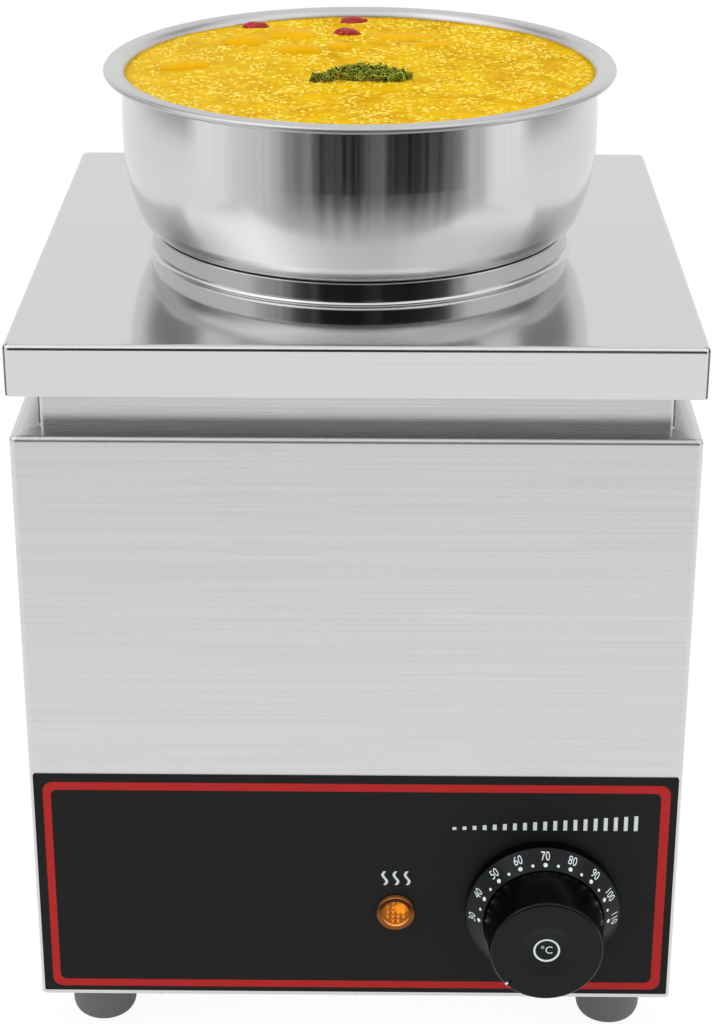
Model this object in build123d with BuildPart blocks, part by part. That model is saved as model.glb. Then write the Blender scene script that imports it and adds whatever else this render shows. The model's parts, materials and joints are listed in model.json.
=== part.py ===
from build123d import *
import os
from math import asin, atan, cos, degrees, hypot, radians, sin, tan

# Sauce warmer: a heated water well in a stepped steel housing, with a lift-out pot.
# Millimetres. The origin is on the table under the pot axis, +Z is up, the front faces -Y.

# Sheet metal and fits
sheet = 1.0
bend_radius = 2.0
corner_radius = 2.5
hole_play = 0.2
thread_play = 0.05
running_play = 0.05
seat_gap = 0.3
tube_gap = 0.1

# Pot collar, and the water well with its bolted flange
collar_radius = 83.0
collar_rise = 8.5
collar_tail = 6.0
well_step = 7.0
well_corner = 12.0
flange_width = 16.0
stud_edge = 5.0
stud_count = 6
stud_radius = 2.0
stud_end = 2.0
seal_thickness = 1.5
control_space = 106.7

# Housing
body_height = 240.7
neck_height = 34.5
neck_lip = 6.0
neck_gap_side = 3.5
neck_gap_front = 2.5
ledge_side = 9.25
ledge_front = 11.5
base_flange = 14.0

# Top cover
cover_overhang = 0.5
skirt_height = 19.5

# Rear cover and cable gland
window_side = 22.0
window_top = 24.0
window_base = 18.0
rear_lap = 12.0
rear_screw_rows = 3
gland_inset = 45.0
gland_rise = 46.0
gland_thread_radius = 10.0
gland_hex_flats = 24.0
gland_hex_length = 7.0
gland_cap_radius = 11.5
gland_nose_radius = 8.0
gland_cap_length = 21.0
gland_bore_radius = 4.6
gland_tail = 12.0
gland_nut_flats = 26.0
gland_nut_height = 5.0

# Base plate and feet
base_margin = 3.0
base_screw_columns = 3
base_screw_clear = 8.0
vent_length = 46.0
vent_width = 4.0
vent_pitch = 12.0
vent_count = 5
vent_offset = 48.0
foot_height = 20.3
foot_radius = 13.3
foot_waist_radius = 12.8
foot_tread_radius = 9.0
foot_round_height = 5.5
foot_inset = 22.5
foot_recess_radius = 4.9
foot_recess_depth = 11.0
washer_radius = 4.6
washer_thickness = 1.0

# Screws and nuts
screw_radius = 2.0
screw_head_radius = 3.6
screw_head_height = 2.4
screw_reach = 6.0
nut_flats = 7.0
nut_height = 3.2

# Control panel
panel_thickness = 0.6
panel_side_margin = 1.5
panel_base_margin = 1.95
panel_height = 99.0
panel_corner_radius = 0.6

# Dial ring and knob, with heights measured out from the panel face
dial_radius = 30.0
dial_edge = 4.9
dial_height = 11.1
dial_wall = 1.8
dial_web = 1.5
dial_right_margin = 20.75
dial_base_margin = 10.75
knob_gap = 0.4
knob_radius = 23.3
knob_face_radius = 21.5
knob_reach = 31.5
knob_edge_radius = 1.2
knob_wall = 2.6
knob_face_thickness = 3.0
knob_back_gap = 1.2
knob_dish_radius = 11.0
knob_dish_depth = 1.6
knob_dish_edge = 5.0
hub_radius = 6.5
pointer_angle = -134.0
pointer_length = 3.4
pointer_width = 1.3
pointer_depth = 0.5

# Thermostat
shaft_radius = 3.0
shaft_flat = 1.0
shaft_flat_clear = 0.5
shaft_face_gap = 2.0
shaft_root = 12.0
bush_radius = 5.0
bush_reach = 2.8
bracket_width = 50.0
bracket_height = 30.0
bracket_thickness = 1.6
thermostat_screw_pitch = 28.0
thermostat_width = 40.0
thermostat_height = 34.0
thermostat_depth = 30.0
thermostat_edge = 2.0
bulb_radius = 3.0
bulb_length = 70.0
bulb_rise = 26.0
bulb_angle = -45.0
capillary_radius = 1.0
capillary_straight = 22.0
capillary_bend = 9.0
clip_wall = 0.8
clip_length = 18.0

# Lamp, with heights measured out from the panel face
lamp_spacing = 57.6
lamp_drop = 2.7
lamp_radius = 7.6
lamp_rise = 1.8
lamp_edge_radius = 0.6
lamp_dish_radius = 5.4
lamp_dish_floor = 0.6
facet_pitch = 2.05
facet_gap = 0.25
facet_rise = 0.8
facet_tip = 0.2
facet_columns = 4
facet_rows = 5
lamp_stem_radius = 4.8
lamp_stem_length = 9.0
lamp_holder_length = 20.0
lamp_tab_width = 2.8
lamp_tab_length = 7.0
lamp_tab_thickness = 0.8
lamp_tab_pitch = 5.0
lamp_nut_width = 3.0
lamp_nut_height = 2.5

# Heating element and thermal cut-out under the well
element_radius = 3.5
element_ring_radius = 55.0
element_leg_pitch = 24.0
element_bend = 12.0
element_leg = 12.0
element_pin_radius = 1.4
element_pin_length = 10.0
strap_width = 22.0
strap_thickness = 2.0
strap_overhang = 6.0
clamp_stud_radius = 3.0
clamp_stud_end = 3.0
clamp_nut_flats = 10.0
clamp_nut_height = 5.0
cutout_x = -30.0
cutout_radius = 8.5
cutout_height = 10.0
cutout_ear_pitch = 24.0
cutout_ear_width = 7.0
cutout_ear_thickness = 1.0
cutout_stud_radius = 1.5
cutout_stud_end = 1.5
cutout_nut_flats = 5.5
cutout_nut_height = 2.4

# Terminal block and earth stud on the base plate
block_side_inset = 55.0
block_rear_inset = 65.0
block_length = 46.0
block_width = 24.0
block_height = 20.0
block_ways = 3
block_pitch = 11.0
block_way_radius = 2.6
block_screw_radius = 2.4
block_screw_depth = 8.0
block_fixing_pitch = 38.0
block_fixing_radius = 1.5
block_fixing_head_radius = 2.8
block_fixing_head_height = 1.8
earth_pitch = 50.0
earth_radius = 2.5
earth_length = 18.0
earth_nut_flats = 8.0
earth_nut_height = 4.0

# Pot, whose visible bowl stands on the collar and whose straight part hangs in the well
pot_wall = 1.0
pot_rise = 63.5
rim_overhang = 6.6
bead_radius = 1.3
flare_radius = 2.5
belly_overhang = 10.4
belly_height = 37.0
belly_angle = 21.0
seat_angle = 58.0
upper_wall_radius = 300.0
insert_gap = 3.0
insert_corner = 15.0
water_depth = 20.0

# Levels, from the table up
body_base = foot_height + sheet
ledge_z = body_base + body_height
cover_under = ledge_z + neck_height
cover_top = cover_under + sheet
collar_top = cover_top + collar_rise
rim_z = collar_top + pot_rise
seal_z = cover_under - seal_thickness
well_flange_z = seal_z - sheet
well_bottom = body_base + control_space
pot_floor = well_bottom + sheet + water_depth

# Plan sizes, from the well out to the housing
well_radius = collar_radius + well_step
flange_radius = well_radius + flange_width
stud_circle = flange_radius - stud_edge
neck_width = 2 * (flange_radius + neck_gap_side + neck_lip + sheet)
neck_depth = 2 * (flange_radius + neck_gap_front + neck_lip + sheet)
body_width = neck_width + 2 * ledge_side
body_depth = neck_depth + 2 * ledge_front
front_y = -body_depth / 2
rear_y = body_depth / 2
panel_face = front_y - panel_thickness
panel_width = body_width - 2 * panel_side_margin

# Centres of the controls on the panel
knob_x = panel_width / 2 - dial_right_margin - dial_radius
knob_z = body_base + panel_base_margin + dial_base_margin + dial_radius
lamp_x = knob_x - lamp_spacing
lamp_z = knob_z - lamp_drop
screw_hole = screw_radius + hole_play
stud_hole = stud_radius + hole_play
bush_hole = bush_radius + hole_play
lamp_hole = lamp_stem_radius + hole_play

# Rear window, and the screws round it
window_width = body_width - 2 * window_side
window_height = body_height - window_base - window_top
window_z = body_base + window_base + window_height / 2
rear_screw_columns = window_width + rear_lap
rear_screw_pitch = (window_height - rear_lap) / (rear_screw_rows - 1)
gland_x = gland_inset - body_width / 2
gland_z = body_base + gland_rise

# Base plate screws and feet
foot_x = body_width / 2 - foot_inset
foot_y = body_depth / 2 - foot_inset
base_screw_span = 2 * (foot_x - foot_radius - base_screw_clear - screw_head_radius)
base_screw_pitch = base_screw_span / (base_screw_columns - 1)
base_screw_y = body_depth - base_flange

# Places of the terminal block and the earth stud
block_x = block_side_inset - body_width / 2
block_y = rear_y - block_rear_inset
earth_x = block_x + earth_pitch

os.makedirs("parts", exist_ok=True)


def front_plane(x, z, out=0.0):
    """A plane parallel to the panel face, seen from the front, a distance out from it."""
    return Plane(origin=(x, panel_face - out, z), x_dir=(1, 0, 0), z_dir=(0, -1, 0))


def rear_plane(x, z, out=0.0):
    """A plane parallel to the rear wall, seen from behind, a distance out from it."""
    return Plane(origin=(x, rear_y + out, z), x_dir=(-1, 0, 0), z_dir=(0, 1, 0))


def front_section(x, z):
    """A plane through a front axis: radius across, distance out from the panel face up."""
    return Plane(origin=(x, panel_face, z), x_dir=(1, 0, 0), z_dir=(0, 0, -1))


def upright_section(x, y):
    """A plane through an upright axis: radius across, height above the table up."""
    return Plane(origin=(x, y, 0), x_dir=(1, 0, 0), z_dir=(0, -1, 0))


def pan_screw(radius, length, head_radius, head_height):
    """A screw along Z, with its head on Z = 0 and its shank below."""
    crown_radius = head_radius - head_height / 2
    with BuildPart() as screw:
        with BuildSketch(Plane.XZ):
            with BuildLine():
                Polyline(
                    (0, -length),
                    (radius, -length),
                    (radius, 0),
                    (head_radius, 0),
                    (head_radius, head_height / 2),
                    (crown_radius, head_height),
                    (0, head_height),
                    close=True,
                )
            make_face()
        revolve(axis=Axis.Z)
    return screw.part


def hex_nut(flats, height, bore_radius):
    """A hexagon nut on Z = 0, standing up."""
    with BuildPart() as nut:
        with BuildSketch():
            RegularPolygon(flats / 2, 6, major_radius=False)
            Circle(bore_radius, mode=Mode.SUBTRACT)
        extrude(amount=height)
    return nut.part


def save(piece, name):
    """Label a finished piece and write it."""
    piece.part.label = name
    export_step(piece.part, f"parts/{name}.step")


# Housing shell: body box, ledge and neck of one folded sheet, with turned-in edges
with BuildPart() as body_shell:
    with BuildSketch(Plane.XY.offset(body_base)):
        RectangleRounded(body_width, body_depth, corner_radius)
    extrude(amount=body_height)
    fillet(body_shell.faces().sort_by(Axis.Z)[-1].edges(), bend_radius)
    with BuildSketch(Plane.XY.offset(ledge_z)):
        RectangleRounded(neck_width, neck_depth, corner_radius)
    extrude(amount=neck_height)
    with BuildSketch(Plane.XY.offset(body_base + sheet)):
        RectangleRounded(body_width - 2 * sheet, body_depth - 2 * sheet, corner_radius - sheet)
    extrude(amount=body_height - 2 * sheet, mode=Mode.SUBTRACT)
    with BuildSketch(Plane.XY.offset(ledge_z - sheet)):
        RectangleRounded(neck_width - 2 * sheet, neck_depth - 2 * sheet, corner_radius - sheet)
    extrude(amount=neck_height, mode=Mode.SUBTRACT)
    with BuildSketch(Plane.XY.offset(cover_under)):
        Rectangle(neck_width - 2 * (sheet + neck_lip), neck_depth - 2 * (sheet + neck_lip))
    extrude(amount=-sheet, mode=Mode.SUBTRACT)
    with BuildSketch(Plane.XY.offset(body_base)):
        Rectangle(body_width - 2 * base_flange, body_depth - 2 * base_flange)
        with GridLocations(base_screw_pitch, base_screw_y, base_screw_columns, 2):
            Circle(screw_hole)
    extrude(amount=sheet, mode=Mode.SUBTRACT)
    with BuildSketch(rear_plane(0, window_z)):
        Rectangle(window_width, window_height)
        with GridLocations(rear_screw_columns, rear_screw_pitch, 2, rear_screw_rows):
            Circle(screw_hole)
    extrude(amount=-sheet, mode=Mode.SUBTRACT)
    with BuildSketch(front_plane(knob_x, knob_z, -panel_thickness)):
        Circle(bush_hole)
        with GridLocations(thermostat_screw_pitch, 0, 2, 1):
            Circle(screw_hole)
    extrude(amount=-sheet, mode=Mode.SUBTRACT)
    with BuildSketch(front_plane(lamp_x, lamp_z, -panel_thickness)):
        Circle(lamp_hole)
    extrude(amount=-sheet, mode=Mode.SUBTRACT)
save(body_shell, "body_shell")

# Rear cover, lapped over the window on the outside
with BuildPart() as rear_cover:
    with BuildSketch(rear_plane(0, window_z)):
        RectangleRounded(window_width + 2 * rear_lap, window_height + 2 * rear_lap, corner_radius)
        with GridLocations(rear_screw_columns, rear_screw_pitch, 2, rear_screw_rows):
            Circle(screw_hole, mode=Mode.SUBTRACT)
        with Locations((-gland_x, gland_z - window_z)):
            Circle(gland_thread_radius + hole_play, mode=Mode.SUBTRACT)
    extrude(amount=sheet)
save(rear_cover, "rear_cover")

sheet_screw = pan_screw(screw_radius, screw_reach, screw_head_radius, screw_head_height)
with BuildPart() as rear_screws:
    with Locations(rear_plane(0, window_z, sheet)):
        with GridLocations(rear_screw_columns, rear_screw_pitch, 2, rear_screw_rows):
            add(sheet_screw)
save(rear_screws, "rear_screws")

# Cable gland: a hexagon body with a domed cap outside, and a nut on its thread inside
gland_length = gland_hex_length + gland_cap_length
with BuildPart() as cable_gland:
    with BuildSketch(Plane(origin=(gland_x, rear_y + sheet, gland_z), x_dir=(1, 0, 0))):
        with BuildLine():
            EllipticalCenterArc(
                (gland_nose_radius, gland_hex_length),
                gland_cap_radius - gland_nose_radius,
                gland_cap_length,
                start_angle=0,
                arc_size=90,
            )
            Polyline(
                (gland_nose_radius, gland_length),
                (gland_bore_radius, gland_length),
                (gland_bore_radius, -gland_tail),
                (gland_thread_radius, -gland_tail),
                (gland_thread_radius, 0),
                (gland_cap_radius, 0),
                (gland_cap_radius, gland_hex_length),
            )
        make_face()
    revolve(axis=Axis((gland_x, rear_y, gland_z), (0, 1, 0)))
    with BuildSketch(rear_plane(gland_x, gland_z, sheet)):
        RegularPolygon(gland_hex_flats / 2, 6, major_radius=False)
        Circle(gland_thread_radius, mode=Mode.SUBTRACT)
    extrude(amount=gland_hex_length)
save(cable_gland, "cable_gland")

gland_nut_solid = hex_nut(gland_nut_flats, gland_nut_height, gland_thread_radius + thread_play)
with BuildPart() as gland_nut:
    with Locations(rear_plane(gland_x, gland_z, -gland_nut_height)):
        add(gland_nut_solid)
save(gland_nut, "gland_nut")

# Base plate under the housing, with vents, foot holes and fixing holes
with BuildPart() as base_plate:
    with BuildSketch(Plane.XY.offset(foot_height)):
        RectangleRounded(body_width - 2 * base_margin, body_depth - 2 * base_margin, corner_radius)
        with GridLocations(base_screw_pitch, base_screw_y, base_screw_columns, 2):
            Circle(screw_hole, mode=Mode.SUBTRACT)
        with GridLocations(2 * foot_x, 2 * foot_y, 2, 2):
            Circle(screw_hole, mode=Mode.SUBTRACT)
        with Locations((vent_offset, 0)):
            with GridLocations(0, vent_pitch, 1, vent_count):
                SlotOverall(vent_length, vent_width, mode=Mode.SUBTRACT)
        with Locations((block_x, block_y)):
            with GridLocations(block_fixing_pitch, 0, 2, 1):
                Circle(block_fixing_radius + hole_play, mode=Mode.SUBTRACT)
    extrude(amount=sheet)
save(base_plate, "base_plate")

with BuildPart() as base_screws:
    with Locations(Location((0, 0, foot_height), (180, 0, 0))):
        with GridLocations(base_screw_pitch, base_screw_y, base_screw_columns, 2):
            add(sheet_screw)
save(base_screws, "base_screws")

# Rubber feet, each hollowed below for its washer and screw head
foot_places = {
    "front_left": (-foot_x, -foot_y),
    "front_right": (foot_x, -foot_y),
    "rear_left": (-foot_x, foot_y),
    "rear_right": (foot_x, foot_y),
}
for place, (x, y) in foot_places.items():
    with BuildPart() as foot:
        with BuildSketch(upright_section(x, y)):
            with BuildLine():
                EllipticalCenterArc(
                    (foot_tread_radius, foot_round_height),
                    foot_waist_radius - foot_tread_radius,
                    foot_round_height,
                    start_angle=-90,
                    arc_size=90,
                )
                Polyline(
                    (foot_waist_radius, foot_round_height),
                    (foot_radius, foot_height),
                    (screw_hole, foot_height),
                    (screw_hole, foot_recess_depth),
                    (foot_recess_radius, foot_recess_depth),
                    (foot_recess_radius, 0),
                    (foot_tread_radius, 0),
                )
            make_face()
        revolve(axis=Axis((x, y, 0), (0, 0, 1)))
    save(foot, f"foot_{place}")

with BuildPart() as foot_washers:
    with BuildSketch(Plane.XY.offset(foot_recess_depth - washer_thickness)):
        with GridLocations(2 * foot_x, 2 * foot_y, 2, 2):
            Circle(washer_radius)
            Circle(screw_hole, mode=Mode.SUBTRACT)
    extrude(amount=washer_thickness)
save(foot_washers, "foot_washers")

foot_screw_seat = foot_recess_depth - washer_thickness
foot_screw = pan_screw(
    screw_radius,
    body_base + nut_height + stud_end - foot_screw_seat,
    screw_head_radius,
    screw_head_height,
)
with BuildPart() as foot_screws:
    with Locations(Location((0, 0, foot_screw_seat), (180, 0, 0))):
        with GridLocations(2 * foot_x, 2 * foot_y, 2, 2):
            add(foot_screw)
save(foot_screws, "foot_screws")

foot_nut = hex_nut(nut_flats, nut_height, screw_radius + thread_play)
with BuildPart() as foot_nuts:
    with Locations((0, 0, body_base)):
        with GridLocations(2 * foot_x, 2 * foot_y, 2, 2):
            add(foot_nut)
save(foot_nuts, "foot_nuts")

# Top cover: a plate with a folded skirt and the collar's hole
cover_width = body_width + 2 * cover_overhang
cover_depth = body_depth + 2 * cover_overhang
with BuildPart() as top_cover:
    with BuildSketch(Plane.XY.offset(cover_top)):
        RectangleRounded(cover_width, cover_depth, corner_radius)
    extrude(amount=-skirt_height)
    fillet(top_cover.faces().sort_by(Axis.Z)[-1].edges(), bend_radius)
    with BuildSketch(Plane.XY.offset(cover_under)):
        RectangleRounded(cover_width - 2 * sheet, cover_depth - 2 * sheet, corner_radius - sheet)
    extrude(amount=-skirt_height, mode=Mode.SUBTRACT)
    with BuildSketch(Plane.XY.offset(cover_under)):
        Circle(collar_radius + hole_play)
    extrude(amount=sheet, mode=Mode.SUBTRACT)
save(top_cover, "top_cover")

# Collar: a band with a rounded lip, standing through the cover's hole
lip_radius = sheet / 2
lip_z = collar_top - lip_radius
with BuildPart() as pot_collar:
    with BuildSketch(Plane.XZ):
        with BuildLine():
            CenterArc((collar_radius - lip_radius, lip_z), lip_radius, 0, 180)
            Polyline(
                (collar_radius - sheet, lip_z),
                (collar_radius - sheet, cover_under - collar_tail),
                (collar_radius, cover_under - collar_tail),
                (collar_radius, lip_z),
            )
        make_face()
    revolve(axis=Axis.Z)
save(pot_collar, "pot_collar")

# Flat seal between the cover and the well flange
with BuildPart() as well_seal:
    with BuildSketch(Plane.XY.offset(seal_z)):
        Circle(flange_radius)
        Circle(well_radius - sheet, mode=Mode.SUBTRACT)
        with PolarLocations(stud_circle, stud_count):
            Circle(stud_hole, mode=Mode.SUBTRACT)
    extrude(amount=seal_thickness)
save(well_seal, "well_seal")

# Water well: a drawn cup with a bolted flange
with BuildPart() as water_well:
    with BuildSketch(Plane.XY.offset(well_bottom)):
        Circle(well_radius)
    extrude(amount=seal_z - well_bottom)
    fillet(water_well.faces().sort_by(Axis.Z)[0].edges(), well_corner)
    offset(amount=-sheet, openings=water_well.faces().sort_by(Axis.Z)[-1])
    with BuildSketch(Plane.XY.offset(well_flange_z)):
        Circle(flange_radius)
        Circle(well_radius - sheet, mode=Mode.SUBTRACT)
        with PolarLocations(stud_circle, stud_count):
            Circle(stud_hole, mode=Mode.SUBTRACT)
    extrude(amount=sheet)
save(water_well, "water_well")

# Studs under the cover, and the nuts that draw the well up to it
stud_length = cover_under - well_flange_z + nut_height + stud_end
with BuildPart() as cover_studs:
    with BuildSketch(Plane.XY.offset(cover_under)):
        with PolarLocations(stud_circle, stud_count):
            Circle(stud_radius)
    extrude(amount=-stud_length)
save(cover_studs, "cover_studs")

cover_nut = hex_nut(nut_flats, nut_height, stud_radius + thread_play)
with BuildPart() as cover_nuts:
    with Locations((0, 0, well_flange_z - nut_height)):
        with PolarLocations(stud_circle, stud_count):
            add(cover_nut)
save(cover_nuts, "cover_nuts")

# Heating element: an open ring under the well, with both ends turned down
element_z = well_bottom - tube_gap - element_radius
element_arm = hypot(element_ring_radius, element_bend)
element_start = degrees(atan(element_bend / element_ring_radius) + asin(element_leg_pitch / 2 / element_arm))
element_sweep = 360 - 2 * element_start


def element_end(angle, turn):
    """Points of one turned-down end: on the ring, halfway round the bend, bend end, leg end."""
    out = Vector(cos(radians(angle)), sin(radians(angle)), 0) * element_ring_radius
    along = Vector(-sin(radians(angle)), cos(radians(angle)), 0) * turn * element_bend
    ring = out + Vector(0, 0, element_z)
    middle = ring + along * sin(radians(45)) - Vector(0, 0, element_bend * (1 - cos(radians(45))))
    bend = ring + along - Vector(0, 0, element_bend)
    return ring, middle, bend, bend - Vector(0, 0, element_leg)


first_end = element_end(element_start, -1)
last_end = element_end(element_start + element_sweep, 1)
with BuildPart() as heating_element:
    with BuildLine() as element_path:
        Line(first_end[3], first_end[2])
        ThreePointArc(first_end[2], first_end[1], first_end[0])
        with BuildLine(Plane.XY.offset(element_z)):
            CenterArc((0, 0), element_ring_radius, element_start, element_sweep)
        ThreePointArc(last_end[0], last_end[1], last_end[2])
        Line(last_end[2], last_end[3])
    with BuildSketch(Plane(origin=first_end[3], z_dir=(0, 0, 1))):
        Circle(element_radius)
    sweep(path=element_path.line)
    with BuildSketch(Plane(origin=(0, 0, first_end[3].Z))):
        with Locations((first_end[3].X, first_end[3].Y), (last_end[3].X, last_end[3].Y)):
            Circle(element_pin_radius)
    extrude(amount=-element_pin_length)
save(heating_element, "heating_element")

# Clamp strap across the ring, on a stud under the middle of the well
strap_top = element_z - element_radius - tube_gap
strap_length = 2 * (element_ring_radius + element_radius + strap_overhang)
with BuildPart() as element_strap:
    with BuildSketch(Plane.XY.offset(strap_top)):
        RectangleRounded(strap_width, strap_length, strap_overhang)
        Circle(clamp_stud_radius + hole_play, mode=Mode.SUBTRACT)
    extrude(amount=-strap_thickness)
save(element_strap, "element_strap")

clamp_nut_z = strap_top - strap_thickness - clamp_nut_height
with BuildPart() as clamp_stud:
    with BuildSketch(Plane.XY.offset(well_bottom)):
        Circle(clamp_stud_radius)
    extrude(amount=clamp_nut_z - clamp_stud_end - well_bottom)
save(clamp_stud, "clamp_stud")

clamp_nut_solid = hex_nut(clamp_nut_flats, clamp_nut_height, clamp_stud_radius + thread_play)
with BuildPart() as clamp_nut:
    with Locations((0, 0, clamp_nut_z)):
        add(clamp_nut_solid)
save(clamp_nut, "clamp_nut")

# Thermal cut-out against the well's underside, on two small studs
with BuildPart() as thermal_cutout:
    with BuildSketch(Plane.XY.offset(well_bottom)):
        with Locations((cutout_x, 0)):
            Circle(cutout_radius)
    extrude(amount=-cutout_height)
    with BuildSketch(Plane.XY.offset(well_bottom)):
        with Locations((cutout_x, 0)):
            SlotOverall(cutout_ear_pitch + cutout_ear_width, cutout_ear_width, rotation=90)
            with GridLocations(0, cutout_ear_pitch, 1, 2):
                Circle(cutout_stud_radius + hole_play, mode=Mode.SUBTRACT)
    extrude(amount=-cutout_ear_thickness)
save(thermal_cutout, "thermal_cutout")

cutout_stud_length = cutout_ear_thickness + cutout_nut_height + cutout_stud_end
with BuildPart() as cutout_studs:
    with BuildSketch(Plane.XY.offset(well_bottom)):
        with Locations((cutout_x, 0)):
            with GridLocations(0, cutout_ear_pitch, 1, 2):
                Circle(cutout_stud_radius)
    extrude(amount=-cutout_stud_length)
save(cutout_studs, "cutout_studs")

cutout_nut = hex_nut(cutout_nut_flats, cutout_nut_height, cutout_stud_radius + thread_play)
with BuildPart() as cutout_nuts:
    with Locations((cutout_x, 0, well_bottom - cutout_ear_thickness - cutout_nut_height)):
        with GridLocations(0, cutout_ear_pitch, 1, 2):
            add(cutout_nut)
save(cutout_nuts, "cutout_nuts")

# Control panel on the front wall
panel_z = body_base + panel_base_margin + panel_height / 2
with BuildPart() as control_panel:
    with BuildSketch(front_plane(0, panel_z)):
        RectangleRounded(panel_width, panel_height, panel_corner_radius)
        with Locations((knob_x, knob_z - panel_z)):
            Circle(bush_hole, mode=Mode.SUBTRACT)
            with GridLocations(thermostat_screw_pitch, 0, 2, 1):
                Circle(screw_hole, mode=Mode.SUBTRACT)
        with Locations((lamp_x, lamp_z - panel_z)):
            Circle(lamp_hole, mode=Mode.SUBTRACT)
    extrude(amount=-panel_thickness)
save(control_panel, "control_panel")

# Dial ring: a hollow cone on a web that the thermostat screws hold to the panel
knob_axis = Axis((knob_x, panel_face, knob_z), (0, -1, 0))
dial_mouth = knob_radius + knob_gap
dial_slope = (dial_height - dial_edge) / (dial_radius - dial_mouth)
dial_lip = dial_height - dial_wall * (1 + dial_slope) / 2 - dial_wall / 2
with BuildPart() as dial_ring:
    with BuildSketch(front_section(knob_x, knob_z)):
        with BuildLine():
            Polyline(
                (bush_hole, 0),
                (dial_radius, 0),
                (dial_radius, dial_edge),
                (dial_mouth, dial_height),
                (dial_mouth, dial_lip),
                (dial_radius - dial_wall, dial_lip - (dial_radius - dial_wall - dial_mouth) * dial_slope),
                (dial_radius - dial_wall, dial_web),
                (bush_hole, dial_web),
                close=True,
            )
        make_face()
    revolve(axis=knob_axis)
    with BuildSketch(front_plane(knob_x, knob_z)):
        with GridLocations(thermostat_screw_pitch, 0, 2, 1):
            Circle(screw_hole)
    extrude(amount=dial_web, mode=Mode.SUBTRACT)
save(dial_ring, "dial_ring")

# Knob: a tapered hollow grip with a shallow dish in its face, a hub and a pointer groove
knob_back = dial_web + screw_head_height + knob_back_gap
hub_back = bush_reach + knob_back_gap
knob_inside = knob_reach - knob_face_thickness
dish_sphere = (knob_dish_radius**2 + knob_dish_depth**2) / (2 * knob_dish_depth)
shaft_tip = knob_inside - shaft_face_gap
with BuildPart() as knob:
    with BuildSketch(front_section(knob_x, knob_z)):
        with BuildLine():
            RadiusArc((knob_dish_radius, knob_reach), (0, knob_reach - knob_dish_depth), dish_sphere)
            Polyline(
                (0, knob_reach - knob_dish_depth),
                (0, hub_back),
                (hub_radius, hub_back),
                (hub_radius, knob_inside),
                (knob_face_radius - knob_wall, knob_inside),
                (knob_radius - knob_wall, dial_height),
                (knob_radius - knob_wall, knob_back),
                (knob_radius, knob_back),
                (knob_radius, dial_height),
                (knob_face_radius, knob_reach),
                (knob_dish_radius, knob_reach),
            )
        make_face()
    revolve(axis=knob_axis)
    dish_rim, face_rim = knob.edges().filter_by(GeomType.CIRCLE).group_by(Axis.Y)[0].sort_by(SortBy.RADIUS)
    fillet(dish_rim, knob_dish_edge)
    fillet(face_rim, knob_edge_radius)
    with BuildSketch(front_plane(knob_x, knob_z, hub_back)):
        Circle(shaft_radius + running_play)
        with Locations((0, shaft_radius - shaft_flat + running_play)):
            Rectangle(2 * hub_radius, hub_radius, align=(Align.CENTER, Align.MIN), mode=Mode.SUBTRACT)
    extrude(amount=shaft_tip + running_play - hub_back, mode=Mode.SUBTRACT)
    with BuildSketch(front_plane(knob_x, knob_z, knob_reach - pointer_depth)):
        pointer_reach = knob_radius - pointer_length / 2
        with PolarLocations(pointer_reach, 1, start_angle=90 - pointer_angle):
            Rectangle(pointer_length + 2 * (knob_radius - knob_face_radius), pointer_width)
    extrude(amount=pointer_depth, mode=Mode.SUBTRACT)
save(knob, "knob")

# Thermostat shaft, flattened where the knob grips it
shaft_foot = -panel_thickness - sheet - bracket_thickness - shaft_root
with BuildPart() as thermostat_shaft:
    with BuildSketch(front_plane(knob_x, knob_z, shaft_foot)):
        Circle(shaft_radius)
    extrude(amount=shaft_tip - shaft_foot)
    with BuildSketch(front_plane(knob_x, knob_z, shaft_tip)):
        with Locations((0, shaft_radius - shaft_flat)):
            Rectangle(2 * shaft_radius, shaft_radius, align=(Align.CENTER, Align.MIN))
    extrude(amount=hub_back - shaft_tip - shaft_flat_clear, mode=Mode.SUBTRACT)
save(thermostat_shaft, "thermostat_shaft")

# Thermostat: a bracket on the wall and a body behind it, whose bush carries the shaft
bracket_front = -panel_thickness - sheet
with BuildPart() as thermostat_bracket:
    with BuildSketch(front_plane(knob_x, knob_z, bracket_front)):
        RectangleRounded(bracket_width, bracket_height, corner_radius)
        Circle(bush_hole, mode=Mode.SUBTRACT)
        with GridLocations(thermostat_screw_pitch, 0, 2, 1):
            Circle(screw_radius + thread_play, mode=Mode.SUBTRACT)
    extrude(amount=-bracket_thickness)
save(thermostat_bracket, "thermostat_bracket")

body_front = bracket_front - bracket_thickness
with BuildPart() as thermostat_body:
    with BuildSketch(front_plane(knob_x, knob_z, body_front)):
        RectangleRounded(thermostat_width, thermostat_height, thermostat_edge)
    extrude(amount=-thermostat_depth)
    fillet(thermostat_body.faces().sort_by(Axis.Y)[-1].edges(), thermostat_edge)
    with BuildSketch(front_plane(knob_x, knob_z, body_front)):
        Circle(bush_radius)
    extrude(amount=bush_reach - body_front)
    with BuildSketch(front_plane(knob_x, knob_z, bush_reach)):
        Circle(shaft_radius + running_play)
    extrude(amount=shaft_foot - running_play - bush_reach, mode=Mode.SUBTRACT)
save(thermostat_body, "thermostat_body")

thermostat_screw_length = dial_web - body_front - running_play
thermostat_screw = pan_screw(
    screw_radius, thermostat_screw_length, screw_head_radius, screw_head_height
)
with BuildPart() as thermostat_screws:
    with Locations(front_plane(knob_x, knob_z, dial_web)):
        with GridLocations(thermostat_screw_pitch, 0, 2, 1):
            add(thermostat_screw)
save(thermostat_screws, "thermostat_screws")

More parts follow.
